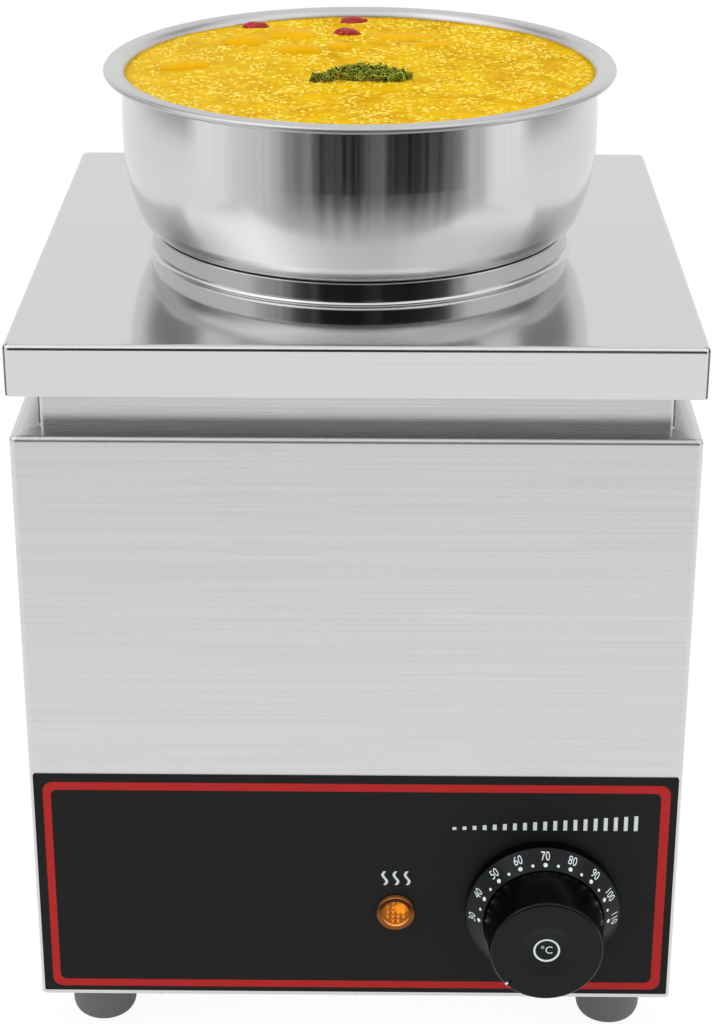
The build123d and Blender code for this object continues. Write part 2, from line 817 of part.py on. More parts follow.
# Sensor bulb against the well wall, with its clip and the capillary from the thermostat
bulb_reach = well_radius + tube_gap + bulb_radius
bulb_x = bulb_reach * cos(radians(bulb_angle))
bulb_y = bulb_reach * sin(radians(bulb_angle))
bulb_z = well_bottom + bulb_rise
with BuildPart() as sensor_bulb:
    with BuildSketch(Plane((bulb_x, bulb_y, bulb_z))):
        Circle(bulb_radius)
    extrude(amount=bulb_length)
    fillet(sensor_bulb.faces().sort_by(Axis.Z)[-1].edges(), bulb_radius / 2)
save(sensor_bulb, "sensor_bulb")

clip_z = bulb_z + (bulb_length - clip_length) / 2
clip_radius = bulb_radius + running_play + clip_wall
with BuildPart() as bulb_clip:
    with BuildSketch(Plane.XY.offset(clip_z)):
        with PolarLocations(bulb_reach, 1, start_angle=bulb_angle):
            Circle(clip_radius)
        with PolarLocations(well_radius, 1, start_angle=bulb_angle):
            Rectangle(2 * bulb_radius, 2 * clip_radius)
        with PolarLocations(bulb_reach, 1, start_angle=bulb_angle):
            Circle(bulb_radius + running_play, mode=Mode.SUBTRACT)
        Circle(well_radius, mode=Mode.SUBTRACT)
    extrude(amount=clip_length)
save(bulb_clip, "bulb_clip")

capillary_y = panel_face - body_front + thermostat_depth / 2
capillary_start = Vector(knob_x, capillary_y, knob_z + thermostat_height / 2)
capillary_end = Vector(bulb_x, bulb_y, bulb_z)
capillary_rise = Vector(0, 0, capillary_straight)
with BuildPart() as capillary:
    with BuildLine() as capillary_path:
        FilletPolyline(
            capillary_start,
            capillary_start + capillary_rise,
            capillary_end - capillary_rise,
            capillary_end,
            radius=capillary_bend,
        )
    with BuildSketch(Plane(capillary_start)):
        Circle(capillary_radius)
    sweep(path=capillary_path.line)
save(capillary, "capillary")

# Lamp: an amber lens with a dished, faceted face, its nut and its holder behind the wall
lamp_axis = Axis((lamp_x, panel_face, lamp_z), (0, -1, 0))
facet_side = facet_pitch - facet_gap
with BuildPart() as lamp_lens:
    with BuildSketch(front_section(lamp_x, lamp_z)):
        with BuildLine():
            Polyline(
                (0, -lamp_stem_length),
                (lamp_stem_radius, -lamp_stem_length),
                (lamp_stem_radius, 0),
                (lamp_radius, 0),
                (lamp_radius, lamp_rise),
                (lamp_dish_radius, lamp_rise),
                (lamp_dish_radius, lamp_dish_floor),
                (0, lamp_dish_floor),
                close=True,
            )
        make_face()
    revolve(axis=lamp_axis)
    fillet(lamp_lens.faces().sort_by(Axis.Y)[0].edges(), lamp_edge_radius)
    with BuildSketch(front_plane(lamp_x, lamp_z, lamp_dish_floor)):
        for columns, rows in ((facet_columns, facet_rows - 2), (facet_columns - 2, facet_rows)):
            with GridLocations(facet_pitch, facet_pitch, columns, rows):
                Rectangle(facet_side, facet_side)
    extrude(amount=facet_rise, taper=degrees(atan((facet_side - facet_tip) / 2 / facet_rise)))
save(lamp_lens, "lamp_lens")

lamp_back = -panel_thickness - sheet
with BuildPart() as lamp_nut:
    with BuildSketch(front_plane(lamp_x, lamp_z, lamp_back)):
        RegularPolygon(lamp_stem_radius + lamp_nut_width, 6, major_radius=False)
        Circle(lamp_stem_radius + thread_play, mode=Mode.SUBTRACT)
    extrude(amount=-lamp_nut_height)
save(lamp_nut, "lamp_nut")

with BuildPart() as lamp_holder:
    with BuildSketch(front_plane(lamp_x, lamp_z, -lamp_stem_length)):
        Circle(lamp_stem_radius)
    extrude(amount=-lamp_holder_length)
    with BuildSketch(front_plane(lamp_x, lamp_z, -lamp_stem_length - lamp_holder_length)):
        with GridLocations(lamp_tab_pitch, 0, 2, 1):
            Rectangle(lamp_tab_thickness, lamp_tab_width)
    extrude(amount=-lamp_tab_length)
save(lamp_holder, "lamp_holder")

# Terminal block on the base plate, with its screws, and the earth stud beside it
with BuildPart() as terminal_block:
    with BuildSketch(Plane((block_x, block_y, body_base))):
        RectangleRounded(block_length, block_width, thermostat_edge)
        with GridLocations(block_fixing_pitch, 0, 2, 1):
            Circle(block_fixing_radius + hole_play, mode=Mode.SUBTRACT)
    extrude(amount=block_height)
    with BuildSketch(Plane((block_x, block_y, body_base + block_height))):
        with GridLocations(block_pitch, block_width / 2, block_ways, 2):
            Circle(block_screw_radius)
    extrude(amount=-block_screw_depth, mode=Mode.SUBTRACT)
    with BuildSketch(Plane.XZ.offset(-block_y - block_width / 2)):
        with Locations((block_x, body_base + block_height / 2)):
            with GridLocations(block_pitch, 0, block_ways, 1):
                Circle(block_way_radius)
    extrude(amount=block_width, mode=Mode.SUBTRACT)
save(terminal_block, "terminal_block")

block_screw = pan_screw(
    block_fixing_radius, block_height + sheet, block_fixing_head_radius, block_fixing_head_height
)
with BuildPart() as block_screws:
    with Locations((block_x, block_y, body_base + block_height)):
        with GridLocations(block_fixing_pitch, 0, 2, 1):
            add(block_screw)
save(block_screws, "block_screws")

with BuildPart() as earth_stud:
    with BuildSketch(Plane((earth_x, block_y, body_base))):
        Circle(earth_radius)
    extrude(amount=earth_length)
save(earth_stud, "earth_stud")

earth_nut_solid = hex_nut(earth_nut_flats, earth_nut_height, earth_radius + thread_play)
with BuildPart() as earth_nut:
    with Locations((earth_x, block_y, body_base)):
        add(earth_nut_solid)
save(earth_nut, "earth_nut")

# Pot section: each skin is a chain of tangent arcs, the inner one a wall thickness inside
belly_radius = collar_radius + belly_overhang
rim_radius = belly_radius + rim_overhang
insert_radius = collar_radius - sheet - insert_gap
lean = radians(seat_angle)
touch = lip_radius + seat_gap
seat_radius = collar_radius - lip_radius - touch * cos(lean)
seat_z = lip_z + touch * sin(lean)
belly_z = collar_top + belly_height
hollow_radius = (seat_radius - insert_radius) / (1 - cos(lean))
belly_lean = radians(belly_angle)
belly_half = tan(belly_lean / 2)
shoulder_run = belly_radius - seat_radius - (belly_z - seat_z) * belly_half
shoulder_radius = shoulder_run / (1 - cos(lean) - sin(lean) * belly_half)
shoulder_climb = belly_z - seat_z - shoulder_radius * sin(lean)
belly_curve = shoulder_radius + shoulder_climb / sin(belly_lean)
flare_z = rim_z - pot_wall - flare_radius
upper_lean = asin((flare_z - belly_z) / (upper_wall_radius + flare_radius))
flare_x = belly_radius - upper_wall_radius + (upper_wall_radius + flare_radius) * cos(upper_lean)
bead_x = rim_radius - bead_radius
bead_turn = asin((bead_radius - pot_wall) / bead_radius)


def pot_skin(depth):
    """One skin of the pot from the middle of its floor to its rim, at a depth inside the outside."""
    lower_z = seat_z - hollow_radius * sin(lean)
    shoulder_x = seat_radius - shoulder_radius * cos(lean)
    shoulder_z = seat_z + shoulder_radius * sin(lean)
    corner_x = insert_radius - insert_corner
    corner_z = pot_floor + insert_corner
    Line((0, pot_floor + depth), (corner_x, pot_floor + depth))
    CenterArc((corner_x, corner_z), insert_corner - depth, -90, 90)
    Line((insert_radius - depth, corner_z), (insert_radius - depth, lower_z))
    CenterArc((insert_radius + hollow_radius, lower_z), hollow_radius + depth, 180, -seat_angle)
    CenterArc((shoulder_x, shoulder_z), shoulder_radius - depth, -seat_angle, seat_angle - belly_angle)
    CenterArc((belly_radius - belly_curve, belly_z), belly_curve - depth, -belly_angle, belly_angle)
    upper_turn = degrees(upper_lean)
    CenterArc((belly_radius - upper_wall_radius, belly_z), upper_wall_radius - depth, 0, upper_turn)
    CenterArc((flare_x, flare_z), flare_radius + depth, 180 + upper_turn, -90 - upper_turn)


with BuildPart() as pot:
    with BuildSketch(Plane.XZ):
        with BuildLine():
            pot_skin(0)
            Line((flare_x, rim_z - pot_wall), (bead_x - bead_radius * cos(bead_turn), rim_z - pot_wall))
            CenterArc((bead_x, rim_z - bead_radius), bead_radius, 90, -270 - degrees(bead_turn))
            Line((bead_x, rim_z), (flare_x, rim_z))
            pot_skin(pot_wall)
            Line((0, pot_floor), (0, pot_floor + pot_wall))
        make_face()
    revolve(axis=Axis.Z)
save(pot, "pot")
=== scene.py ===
# %% [markdown]
# # Dressing a sauce warmer
#
# A sauce warmer keeps a pot of soup or sauce hot in a bath of water. This lesson gives each surface
# the finish that it has on a kitchen counter, prints the scales, fills the pot, and lights it all as
# a plain studio would.

# %% Load the model
import json
import random
from functools import partial
from math import atan, cos, hypot, pi, radians, sin, sqrt

import bmesh
import bpy
from mathutils import Matrix, Vector, noise


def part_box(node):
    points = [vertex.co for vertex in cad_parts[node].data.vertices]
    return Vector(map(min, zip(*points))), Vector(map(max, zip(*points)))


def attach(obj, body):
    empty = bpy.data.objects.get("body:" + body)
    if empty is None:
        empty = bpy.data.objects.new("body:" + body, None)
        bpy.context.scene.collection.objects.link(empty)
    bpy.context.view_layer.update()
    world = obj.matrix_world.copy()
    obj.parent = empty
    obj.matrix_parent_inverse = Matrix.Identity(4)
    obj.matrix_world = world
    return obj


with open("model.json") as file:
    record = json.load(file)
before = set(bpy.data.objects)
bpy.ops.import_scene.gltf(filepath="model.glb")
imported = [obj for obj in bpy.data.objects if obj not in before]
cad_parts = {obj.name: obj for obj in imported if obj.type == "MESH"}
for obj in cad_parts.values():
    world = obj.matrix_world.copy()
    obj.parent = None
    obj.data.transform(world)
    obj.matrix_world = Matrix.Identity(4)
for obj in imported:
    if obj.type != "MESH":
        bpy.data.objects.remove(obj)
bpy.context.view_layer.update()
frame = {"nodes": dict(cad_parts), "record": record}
nodes = frame["nodes"]
scene = bpy.context.scene
mm = 0.001

# %% [markdown]
# ## Small helpers
#
# Colours are easiest to read as the hex values of a paint program, but shaders work in linear light, so
# one function turns the first into the second. Another adds a shader node with its settings and its links
# in one line. What feeds a socket is a value, another socket, or a node whose first output in use is meant.
# Inputs without names go in the node's own order: a map range takes a value, the two ends that it comes
# from and the two that it goes to, and a mix, of colours unless it says otherwise, takes its share and its
# two sides. The rest make a Principled material, whose constants sit on the shader's own sockets, where an
# exporter finds them, and give such a finish to solid pieces. A new finish comes with `node`, which adds
# nodes to its own tree.

# %% Colour, node and finish helpers
def colour(hex_value):
    """Turns an sRGB hex value into linear red, green, blue and alpha."""
    channels = [int(hex_value[i:i + 2], 16) / 255 for i in (1, 3, 5)]
    return [c / 12.92 if c <= 0.04045 else ((c + 0.055) / 1.055) ** 2.4 for c in channels] + [1.0]


def feed(socket, source):
    """Sets a socket to a value, or links it from a socket or from a node's first output in use."""
    if isinstance(source, bpy.types.Node):
        source = next(output for output in source.outputs if output.enabled)
    if isinstance(source, bpy.types.NodeSocket):
        socket.id_data.links.new(source, socket)
    else:
        socket.default_value = source


usual_settings = {"Mix": {"data_type": "RGBA"}}
eased = {"interpolation_type": "SMOOTHSTEP"}


def add(tree, kind, inputs=(), **settings):
    """Adds one shader node. Settings go on the node, and inputs feed its sockets by name or in order."""
    node = tree.nodes.new("ShaderNode" + kind)
    for key, value in {**usual_settings.get(kind, {}), **settings}.items():
        setattr(node, key, value)
    if isinstance(inputs, dict):
        pairs = [(node.inputs[key], source) for key, source in inputs.items()]
    else:
        pairs = zip([socket for socket in node.inputs if socket.enabled], inputs)
    for socket, source in pairs:
        feed(socket, source)
    return node


def wire(shader, **sockets):
    """Feeds the sockets of a shader, named with _ for a space."""
    for key, source in sockets.items():
        feed(shader.inputs[key.replace("_", " ")], source)


def new_finish(name, hex_value, **sockets):
    """A Principled material of one colour, with other sockets by keyword, its node adder and its shader."""
    material = bpy.data.materials.new(name)
    material.use_nodes = True
    shader = material.node_tree.nodes["Principled BSDF"]
    wire(shader, Base_Color=colour(hex_value), **sockets)
    return material, partial(add, material.node_tree), shader


def give(names, material):
    """Gives solid pieces a finish in place of their plain one."""
    for name in names:
        nodes[name].data.materials.clear()
        nodes[name].data.materials.append(material)


print("mid grey #808080 is", [round(c, 3) for c in colour("#808080")[:3]], "in linear light")

# %% [markdown]
# ## The camera
#
# The camera stands a little right of the middle, about 0.9 m in front of the pot and 0.6 m up, and looks
# down by 24 degrees. Its place and focal length were worked out from the straight edges of the housing,
# so that the model lies on the photograph. A long lens keeps the upright edges nearly parallel.

# %% Place the camera
camera_place = (0.009213, -0.943927, 0.595459)
camera_data = bpy.data.cameras.new("studio_camera")
camera_data.sensor_fit = "VERTICAL"
camera_data.sensor_height = 36.0
camera_data.lens = 85.87
camera_data.clip_start = 0.01
camera = bpy.data.objects.new("studio_camera", camera_data)
scene.collection.objects.link(camera)
turn = Matrix.Rotation(radians(0.640), 4, "Z")
tilt = Matrix.Rotation(radians(66.086), 4, "X")
roll = Matrix.Rotation(radians(0.066), 4, "Z")
camera.matrix_world = Matrix.Translation(camera_place) @ turn @ tilt @ roll
scene.camera = camera
print("camera at", [round(v, 3) for v in camera.matrix_world.translation])

# %% [markdown]
# ## The studio
#
# Polished steel has no colour of its own: it shows the room. The room here is a white floor under an even
# white sky, with one soft box overhead and two at the sides. The sky gives less light than it shows, so
# that the lamps still model the shapes: the camera sees it as plain white, a glossy or transmission ray as
# nearly white, and every other ray gets the light level. The floor is part paint and part glow for the
# same rays, so that it looks white and still takes a shadow.

# %% White world and floor
def ray_kinds(node):
    """The kinds of ray, and whether one is of the two that come off a gloss or through something clear."""
    rays = node("LightPath").outputs
    either = (rays["Is Glossy Ray"], rays["Is Transmission Ray"])
    return rays, node("Math", either, operation="MAXIMUM")


sky_light, sky_in_steel = 0.72, 0.9
floor_glow, floor_seen = 0.9, 1.03
world = bpy.data.worlds.new("white_studio")
scene.world = world
world.use_nodes = True
world.node_tree.nodes.clear()
node = partial(add, world.node_tree)
rays, mirrored = ray_kinds(node)
in_steel = node("MapRange", (mirrored, 0, 1, sky_light, sky_in_steel))
sky_level = node("Math", (in_steel, rays["Is Camera Ray"]), operation="MAXIMUM")
sky = node("Background", {"Color": colour("#FFFFFF"), "Strength": sky_level})
node("OutputWorld", {"Surface": sky})

floor_paint, node, shader = new_finish("floor_matt_white_paint", "#F4F4F3", Roughness=0.8)
grit = node("TexNoise", {"Scale": 900.0, "Detail": 2.0})
wire(shader, Normal=node("Bump", {"Strength": 0.05, "Distance": 0.2 * mm, "Height": grit}))
rays, mirrored = ray_kinds(node)
looked_at = node("Math", (rays["Is Camera Ray"], mirrored), operation="MAXIMUM")
share = node("Math", (looked_at, floor_glow), operation="MULTIPLY")
level = node("MapRange", (rays["Is Camera Ray"], 0, 1, floor_glow, floor_seen))
glow = node("Emission", {"Color": colour("#FFFFFF"), "Strength": level})
both = node("MixShader", (share, shader, glow))
feed(floor_paint.node_tree.nodes["Material Output"].inputs["Surface"], both)
bpy.ops.mesh.primitive_plane_add(size=12.0)
floor = bpy.context.object
floor.name = "studio_floor"
floor.data.materials.append(floor_paint)
print("floor", [round(v, 1) for v in floor.dimensions[:2]], "m")

# %% Soft boxes
def soft_box(name, place, target, width, height, power):
    """A rectangular lamp that faces a point. The steel doesn't mirror it."""
    data = bpy.data.lights.new(name, "AREA")
    data.shape = "RECTANGLE"
    data.size = width
    data.size_y = height
    data.energy = power
    lamp = bpy.data.objects.new(name, data)
    lamp.location = place
    lamp.rotation_euler = (Vector(target) - Vector(place)).to_track_quat("-Z", "Y").to_euler()
    lamp.visible_glossy = False
    scene.collection.objects.link(lamp)


soft_box("overhead_box", (0.0, -0.5, 2.2), (0, 0, 0.3), 3.0, 1.25, 16.0)
for side, x in (("left_box", -1.7), ("right_box", 1.7)):
    soft_box(side, (x, -0.5, 1.0), (0, 0, 0.2), 0.8, 1.4, 11.0)

# %% [markdown]
# ## What the steel sees
#
# A photographer shapes polished metal with flags and cards that only show as reflections. They are hidden
# from every ray but a glossy one, so they cast no shadow and dim no light. A streak on a round pot is a
# line of one direction, so each cloth has a tone for each bearing, with a few given stops and noise for
# its folds and threads. A round mirror sees the room as if from a point half its radius in front of its
# axis, so bearings are taken from there, and the streaks run straight down the wall. A cloth is paler near
# the pot, unevenly, as it hangs, can be deeper in tone high up, and fades to white at its foot and its top.
# It is one-sided: from behind it is clear.

# %% A cloth with tones by bearing
mirror_focus = (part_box("pot")[1].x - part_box("pot")[0].x) / 4
fold_scale, fold_lean = 34.0, 0.012
thread_scale, thread_dark, thread_light = 75.0, -0.04, 0.05
deep_from, deep_to = 0.39, 0.67
pale_from, pale_to, pale_sway = 1 / 546, 1 / 110, 0.0008
noise_low, noise_high = 0.3, 0.7


def set_ramp(node, stops):
    """Gives a colour ramp its stops, each a position and a colour."""
    ramp = node.color_ramp.elements
    for i, (position, shade) in enumerate(stops):
        stop = ramp[i] if i < 2 else ramp.new(0.999)
        stop.position = position
        stop.color = shade


def cloth(name, stops, low, high, fades, upper, gain):
    """Glowing cloth between two heights. Upper is the power of its tones high up."""
    first, last = stops[0][0], stops[-1][0]
    foot, head = [fade * mm for fade in fades]
    material = bpy.data.materials.new(name + "_cloth")
    material.use_nodes = True
    material.node_tree.nodes.clear()
    node = partial(add, material.node_tree)
    spot = node("TexCoord").outputs["Object"]
    place = node("SeparateXYZ", (spot,)).outputs
    ahead = node("Math", (-mirror_focus, place["Y"]), operation="SUBTRACT")
    bearing = node("Math", (place["X"], ahead), operation="ARCTAN2")
    across = node("MapRange", (bearing, radians(first), radians(last)))
    folds = node("TexNoise", {"W": across, "Scale": fold_scale, "Detail": 4.0}, noise_dimensions="1D")
    lean = node("MapRange", (folds, 0, 1, -fold_lean, fold_lean))
    tone = node("ValToRGB", (node("Math", (across, lean), operation="ADD"),))
    set_ramp(tone, [((degrees - first) / (last - first), [level] * 3 + [1.0]) for degrees, level in stops])
    weave = node("TexNoise", {"W": across, "Scale": thread_scale, "Detail": 2.0}, noise_dimensions="1D")
    threads = node("MapRange", (weave, noise_low, noise_high, thread_dark, thread_light))
    uneven = node("Math", (tone, threads), operation="ADD", use_clamp=True)
    deeper = node("MapRange", (place["Z"], deep_from, deep_to, 1.0, upper))
    woven = node("Math", (uneven, deeper), operation="POWER")
    level_spot = node("VectorMath", (spot, (1, 1, 0)), operation="MULTIPLY")
    reach = node("VectorMath", (level_spot,), operation="LENGTH")
    closeness = node("Math", (mm, reach), operation="DIVIDE")
    sway = node("MapRange", (folds, noise_low, noise_high, -pale_sway, pale_sway))
    hung = node("Math", (closeness, sway), operation="ADD")
    near = node("MapRange", (hung, pale_from, pale_to), **eased)
    pale = node("Mix", (near, woven, colour("#C8C8C8")), blend_type="LIGHTEN")
    lower = node("MapRange", (place["Z"], low + foot, low), **eased)
    rise = node("MapRange", (place["Z"], high - head, high), **eased)
    ends = node("Math", (lower, rise), operation="MAXIMUM")
    tinted = node("Mix", (ends, pale, colour("#F3F3F3")))
    glow = node("Emission", {"Color": tinted, "Strength": gain})
    behind = node("NewGeometry").outputs["Backfacing"]
    sided = node("MixShader", (behind, glow, node("BsdfTransparent")))
    node("OutputMaterial", {"Surface": sided})
    return material


print("bearings are taken", round(mirror_focus / mm, 1), "mm in front of the pot's axis")

# %% [markdown]
# The front flag hangs behind the camera and runs on as a slope that falls from the cover's front edge to
# the table, so that the pot's belly darkens by degrees from its foot up. The housing looks at the slope
# from below, through it, and keeps the white table. A half ring of bright cards stands high in front. A low
# strip and a higher flag stand to each side, as mirrored pairs, and round off the lower corners of the
# belly, which see them by way of the cover.

# %% Hang the flags
def straight(half_width, outline):
    """Rows of points along X, by distances in front and heights in mm."""
    return [[Vector((x, -y, z)) * mm for y, z in outline] for x in (-half_width, half_width)]


def bent(first, last, outline):
    """Rows of points round the object between two bearings from the front, by radii and heights in mm."""
    turns = [radians(first + (last - first) * i / 60) for i in range(61)]
    return [[Vector((r * sin(a), -r * cos(a), z)) * mm for r, z in outline] for a in turns]


def flag(name, rows, stops, fades, upper=1.0, gain=1.0):
    """A cloth over rows of points that only a glossy ray sees. Its foot and its top fade over some mm."""
    shape = bmesh.new()
    points = [[shape.verts.new(p) for p in row] for row in rows]
    for left, right in zip(points, points[1:]):
        for i in range(len(left) - 1):
            shape.faces.new((right[i], left[i], left[i + 1], right[i + 1]))
    mesh = bpy.data.meshes.new(name)
    shape.to_mesh(mesh)
    shape.free()
    low, high = min(p.z for p in rows[0]) - 1.0 * mm, rows[0][-1].z
    mesh.materials.append(cloth(name, stops, low, high, fades, upper, gain))
    made = bpy.data.objects.new(name, mesh)
    scene.collection.objects.link(made)
    made.visible_camera = made.visible_diffuse = made.visible_shadow = False
    made.visible_transmission = made.visible_volume_scatter = False


front_stops = [(-75, 0.95), (-66, 0.92), (-60, 0.76), (-50, 0.7), (-42, 0.63), (-38, 0.5), (-34, 0.3),
               (-27, 0.2), (-23, 0.28), (-19, 0.04), (-9, 0.07), (-5, 0.03), (1, 0.03), (7, 0.15),
               (11, 0.15), (15, 0.03), (29, 0.03), (39, 0.08), (49, 0.24), (54, 0.62), (58, 0.5),
               (62, 0.76), (67, 0.94), (78, 0.98)]
card_stops = [(-100, 0.52), (-90, 0.65), (-75, 0.85), (-60, 0.92), (-48, 0.8), (-38, 0.7), (-20, 0.56),
              (0, 0.51), (16, 0.5), (32, 0.57), (44, 0.6), (52, 0.58), (62, 0.6), (75, 0.58), (90, 0.5),
              (100, 0.45)]
strip_stops = [(80, 0.9), (90, 0.32), (104, 0.28), (122, 0.35), (140, 0.9)]
side_stops = [(99, 0.9), (108, 0.6), (118, 0.33), (128, 0.27), (150, 0.45), (165, 0.9)]
cover_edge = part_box("top_cover")[1].z / mm
front_outline = [(120, cover_edge + 1), (127, cover_edge), (1450, 1), (1500, 1), (1500, 1265)]
card_outline = [(1800, 1200), (1800, 6000)]
strip_outline = [(1900, 1), (1900, 900)]
side_outline = [(2500, 1500), (2500, 3900)]
flag("front_flag", straight(5000, front_outline), front_stops, (0.5, 70), upper=2.0)
flag("high_cards", bent(-100, 100, card_outline), card_stops, (450, 2600), gain=1.95)
side_pairs = (("low_strip", strip_stops, strip_outline, (1, 300)),
              ("side_flag", side_stops, side_outline, (700, 400)))
for name, stops, outline, fades in side_pairs:
    mirrored_stops = [(-bearing, tone) for bearing, tone in reversed(stops)]
    flag(name + "_right", bent(stops[0][0], stops[-1][0], outline), stops, fades)
    flag(name + "_left", bent(-stops[-1][0], -stops[0][0], outline), mirrored_stops, fades)

# %% [markdown]
# ## Brushed stainless sheet
#
# The housing, the cover and the plates are stainless steel sheet with a ground grain: an abrasive belt
# leaves fine parallel scratches, which mirror sharply along the belt and blur across it. A bitmap of
# scratches would do, but a noise drawn out along the grain needs no file and no unwrapping. The true
# scratches are about 0.1 mm wide, too fine for a pixel, so they are drawn 1.1 mm wide with a finer set of
# 0.4 mm over them. One vector says which way lies across the grain: up on the walls, front to back on the
# flats, and side to side on the two side strips of the ledge, which are mitred to the front and rear ones.
# The noise is squeezed along that vector, and the same vector is the tangent of the anisotropic shader.

# %% Which way lies across the grain
neck_half = (116.5 * mm, 115.5 * mm)
body_half = [v / 2 for v in (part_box("body_shell")[1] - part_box("body_shell")[0])[:2]]
ledge_top = 262.0 * mm


def across_grain(node):
    """A unit vector across the grain, and masks of the flats, the corner folds and the level bends."""
    place = node("TexCoord").outputs
    spot = node("SeparateXYZ", (place["Object"],)).outputs
    faces = node("VectorMath", (place["Normal"], place["Normal"]), operation="MULTIPLY")
    facing = node("SeparateXYZ", (faces,)).outputs
    lying, turned, folded = [node("Math", (facing[axis], least), operation="GREATER_THAN")
                             for axis, least in (("Z", 0.5), ("X", 0.35), ("Y", 0.03))]
    shares = []
    for axis, neck, body in zip("XY", neck_half, body_half):
        out = node("Math", (spot[axis],), operation="ABSOLUTE")
        shares.append(node("MapRange", (out, neck, body), clamp=False))
    strip = node("Math", (shares[0], shares[1]), operation="GREATER_THAN")
    on_ledge = node("Math", (spot["Z"], ledge_top, 1.0 * mm), operation="COMPARE")
    mitred = node("Math", (strip, on_ledge), operation="MULTIPLY")
    flat = node("Mix", (mitred, (0, 1, 0), (1, 0, 0)), data_type="VECTOR")
    across = node("Mix", (lying, (0, 0, 1), flat), data_type="VECTOR")
    corner = node("Math", (turned, folded), operation="MULTIPLY")
    above = node("Math", (spot["Z"], ledge_top + 0.5 * mm), operation="GREATER_THAN")
    seam = node("Math", (corner, above), operation="MULTIPLY")
    upright = node("Math", (1.0, facing["Z"]), operation="SUBTRACT")
    bend = node("Math", (facing["Z"], upright), operation="MULTIPLY")
    return place["Object"], across, lying, seam, bend


print("ledge", [round((b - n) / mm, 2) for b, n in zip(body_half, neck_half)], "mm wide")

# %% Brushed sheet
def streaks(node, place, across, length, width, detail):
    """Noise drawn out along the grain, its length and width in millimetres."""
    depth = node("VectorMath", (place, across), operation="DOT_PRODUCT")
    extra = node("Math", (depth, 1 / (width * mm) - 1 / (length * mm)), operation="MULTIPLY")
    squeeze = node("VectorMath", (across, extra), operation="SCALE")
    drawn = node("VectorMath", (place, 1 / (length * mm)), operation="SCALE")
    grain = node("VectorMath", (drawn, squeeze), operation="ADD")
    return node("TexNoise", {"Vector": grain, "Scale": 1.0, "Detail": detail, "Roughness": 0.6})


def brushed(name, hex_dark, hex_light, hex_flat_shade, rough_wall, rough_flat, relief, spread):
    """Stainless sheet whose streaks vary colour, gloss and relief together. Flats take a painted shade, and
    a bend is duller.
    """
    material, node, shader = new_finish(name, hex_light, Metallic=1.0, Anisotropic=spread)
    place, across, lying, seam, bend = across_grain(node)
    coarse = streaks(node, place, across, 260.0, 1.1, 3.0)
    fine = streaks(node, place, across, 70.0, 0.4, 2.0)
    both = node("Math", (coarse, fine), operation="ADD")
    tone = node("MapRange", (both, 0.65, 1.35))
    steel = node("Mix", (tone, colour(hex_dark), colour(hex_light)))
    # Painted shade: on flat, level surfaces the steel's colour is multiplied by a grey, so the cover's tops
    # are darker than its walls.
    level = node("Mix", (lying, steel, colour(hex_flat_shade)), blend_type="MULTIPLY")
    dull = node("Mix", (seam, level, colour("#6E6E6E")))
    ground = node("Mix", (lying, rough_wall, rough_flat), data_type="FLOAT")
    worn = node("MapRange", (both, 0.6, 1.4, 1.12, 0.88))
    gloss = node("Math", (ground, worn), operation="MULTIPLY")
    rough = node("Math", (bend, 0.6, gloss), operation="MULTIPLY_ADD")
    groove = node("Bump", {"Strength": relief, "Distance": 0.1 * mm, "Height": both})
    wire(shader, Base_Color=dull, Roughness=rough, Normal=groove, Tangent=across)
    return material


body_sheet = brushed("brushed_stainless_sheet", "#DEDEDD", "#E4E4E3", "#FFFFFF", 0.28, 0.28, 0.03, 0.5)
cover_sheet = brushed("bright_stainless_cover", "#DDDDDD", "#E2E2E2", "#F4F4F4", 0.12, 0.08, 0.012, 0.3)
give(("body_shell", "rear_cover", "base_plate"), body_sheet)
give(("top_cover",), cover_sheet)
print("brushed sheet on", [n for n, o in nodes.items() if o.data.materials[0] in (body_sheet, cover_sheet)])

# %% [markdown]
# ## Spun and polished steel
#
# The pot is spun from a disc of stainless steel and buffed on a wheel, which leaves a mirror with fine
# rings round the axis. Rings mirror sharply along themselves and blur across, so a bright or dark thing in
# the room becomes an upright streak. That is an anisotropic gloss whose tangent runs round the axis and is
# turned by a quarter. The wheel reaches the upper wall best: the foot of the wall is a little duller, and
# the flat rim is only satin, where the trimming tool has gone round. Height above the table tells the three
# apart, so one material does them all. The collar is the same steel, a little darker.

# %% Polished pot and collar
foot_top, wall_low = 332.0 * mm, 352.0 * mm
rim_low, rim_high = 365.5 * mm, 367.0 * mm
tool_step = 0.5 * mm


def spun(name, hex_value, hex_satin, foot, gloss, satin):
    """Turned steel with faint rings. The last three are the roughness of its foot, its wall and its rim."""
    material, node, shader = new_finish(
        name, hex_value, Metallic=1.0, Anisotropic=0.8, Anisotropic_Rotation=0.25)
    place = node("TexCoord").outputs["Object"]
    height = node("SeparateXYZ", (place,)).outputs["Z"]
    on_rim = node("MapRange", (height, rim_low, rim_high), **eased)
    wall = node("MapRange", (height, foot_top, wall_low, foot, gloss), **eased)
    band = node("Mix", (on_rim, wall, satin), data_type="FLOAT")
    smudge = node("TexNoise", {"Vector": place, "Scale": 45.0, "Detail": 3.0})
    wear = node("MapRange", (smudge, 0, 1, -0.02, 0.02))
    rough = node("Math", (band, wear), operation="ADD")
    steps = node("Math", (height, 1 / tool_step), operation="MULTIPLY")
    rings = node("TexNoise", {"W": steps, "Scale": 1.0, "Detail": 2.0}, noise_dimensions="1D")
    lines = node("Bump", {"Strength": 0.02, "Distance": 0.1 * mm, "Height": rings})
    steel = node("Mix", (on_rim, colour(hex_value), colour(hex_satin)))
    around = node("Tangent", direction_type="RADIAL", axis="Z")
    wire(shader, Base_Color=steel, Roughness=rough, Normal=lines, Tangent=around)
    return material


pot_steel = spun("spun_polished_stainless", "#DADADA", "#D0D0D0", 0.17, 0.12, 0.32)
collar_steel = spun("turned_stainless_collar", "#D0D0D0", "#D0D0D0", 0.1, 0.1, 0.1)
give(("pot",), pot_steel)
give(("pot_collar",), collar_steel)
print("polished: pot, pot_collar")

